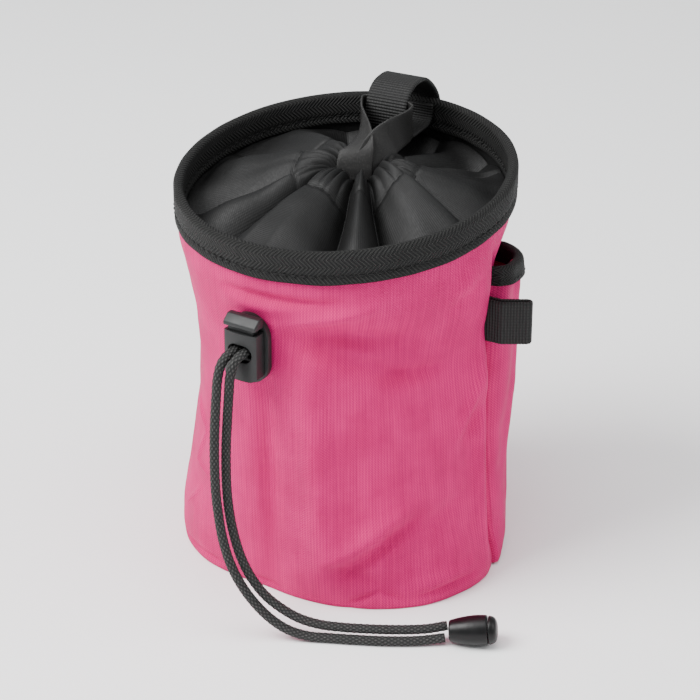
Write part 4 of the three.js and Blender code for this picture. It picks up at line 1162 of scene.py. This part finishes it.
def make_lock_piece(name, node, width, material, body):
    """A smooth-edged copy of a hard piece of the model."""
    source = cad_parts[node]
    mesh = source.data.copy()
    piece = add_object(name, mesh)
    shape = bmesh.new()
    shape.from_mesh(mesh)
    bmesh.ops.remove_doubles(shape, verts=shape.verts, dist=1e-5)
    bmesh.ops.dissolve_limit(shape, angle_limit=math.radians(1.5), verts=shape.verts, edges=shape.edges)
    bmesh.ops.recalc_face_normals(shape, faces=shape.faces)
    shape.to_mesh(mesh)
    shape.free()
    bevel = piece.modifiers.new("edges", "BEVEL")
    bevel.width = width
    bevel.segments = 3
    bevel.limit_method = "ANGLE"
    bevel.angle_limit = math.radians(38)
    bevel.harden_normals = False
    depsgraph = bpy.context.evaluated_depsgraph_get()
    made = bpy.data.meshes.new_from_object(piece.evaluated_get(depsgraph))
    piece.modifiers.clear()
    piece.data = made
    made.polygons.foreach_set("use_smooth", np.ones(len(made.polygons), bool))
    made.set_sharp_from_angle(angle=math.radians(32))
    finish_piece(piece, material, "grey_plastic", node, body=body)


# Camera, floor and light

def aimed(name, data, target, azimuth, elevation, distance):
    """Camera or light at a distance from a point, looking at it."""
    a, e = math.radians(azimuth), math.radians(elevation)
    back = Vector((math.sin(a) * math.cos(e), -math.cos(a) * math.cos(e), math.sin(e)))
    thing = add_object(name, data)
    thing.location = Vector(target) + back * distance
    thing.rotation_euler = back.to_track_quat("Z", "Y").to_euler()
    return thing


def make_camera():
    data = bpy.data.cameras.new("camera")
    data.sensor_width = 36
    data.lens = CAMERA_LENS
    data.clip_start = 0.01
    bpy.context.scene.camera = aimed(
        "camera", data, CAMERA_TARGET, CAMERA_AZIMUTH, CAMERA_ELEVATION, CAMERA_DISTANCE)


def make_light(name, azimuth, elevation, distance, size, power):
    data = bpy.data.lights.new(name, "AREA")
    data.shape = "DISK"
    data.size = size
    data.energy = power
    aimed(name, data, LIGHT_TARGET, azimuth, elevation, distance)


def make_stage():
    half = 6.0
    corners = [(-half, -half, 0), (half, -half, 0), (half, half, 0), (-half, half, 0)]
    mesh = bpy.data.meshes.new("floor")
    mesh.from_pydata(corners, [], [(0, 1, 2, 3)])
    floor = add_object("floor", mesh)
    mesh.materials.append(floor_paper())
    world = bpy.data.worlds.new("studio")
    bpy.context.scene.world = world
    world.use_nodes = True
    background = world.node_tree.nodes["Background"]
    background.inputs["Color"].default_value = (0.92, 0.94, 0.96, 1)
    background.inputs["Strength"].default_value = 0.66
    make_light("key", -34, 48, 1.3, 0.8, 29)
    make_light("fill", 112, 34, 1.4, 1.0, 7)
    make_light("top", 20, 80, 1.2, 1.0, 9)


# The whole bag

make_camera()
CORD_CLOTH = braided_cord()
GLOSS = polished_plastic()
bell = make_turned("bell_piece", BELL_PROFILE, GLOSS, "cord_end_bell")
cap = make_turned("cap_piece", CAP_PROFILE, GLOSS, "cord_end_cap")
make_cord("cord_left_braid", CORD_LEFT, CORD_CLOTH, "cord_left")
make_cord("cord_right_braid", CORD_RIGHT, CORD_CLOTH, "cord_right")

NYLON = pink_nylon()
THREAD = sewing_thread()
RIM_TAPE = herringbone("rim_twill", 0.0015, 0.0029)
COLLAR_CLOTH = collar_cloth()
WEBBING_CLOTH = webbing_cloth()
PLASTIC = moulded_plastic()
make_body(NYLON, collar_cloth("lining_cloth"))
make_base(NYLON)
make_rim_binding(RIM_TAPE)
make_rim_stitches(THREAD)
make_collar(COLLAR_CLOTH, THREAD)
make_sleeve(NYLON)
make_sleeve_binding(herringbone("sleeve_twill", 0.0010, 0.0019), THREAD)
make_haul_loop(WEBBING_CLOTH)
make_ribbon(ribbon_cloth())
make_brush_loop(WEBBING_CLOTH)
make_lock_piece("lock_back_plate", "lock_plate", 0.0005, PLASTIC, "bag")
make_lock_piece("lock_block", "lock_housing", 0.0004, PLASTIC, "bag")
make_lock_piece("lock_press", "lock_button", 0.0004, PLASTIC, "button")

make_stage()
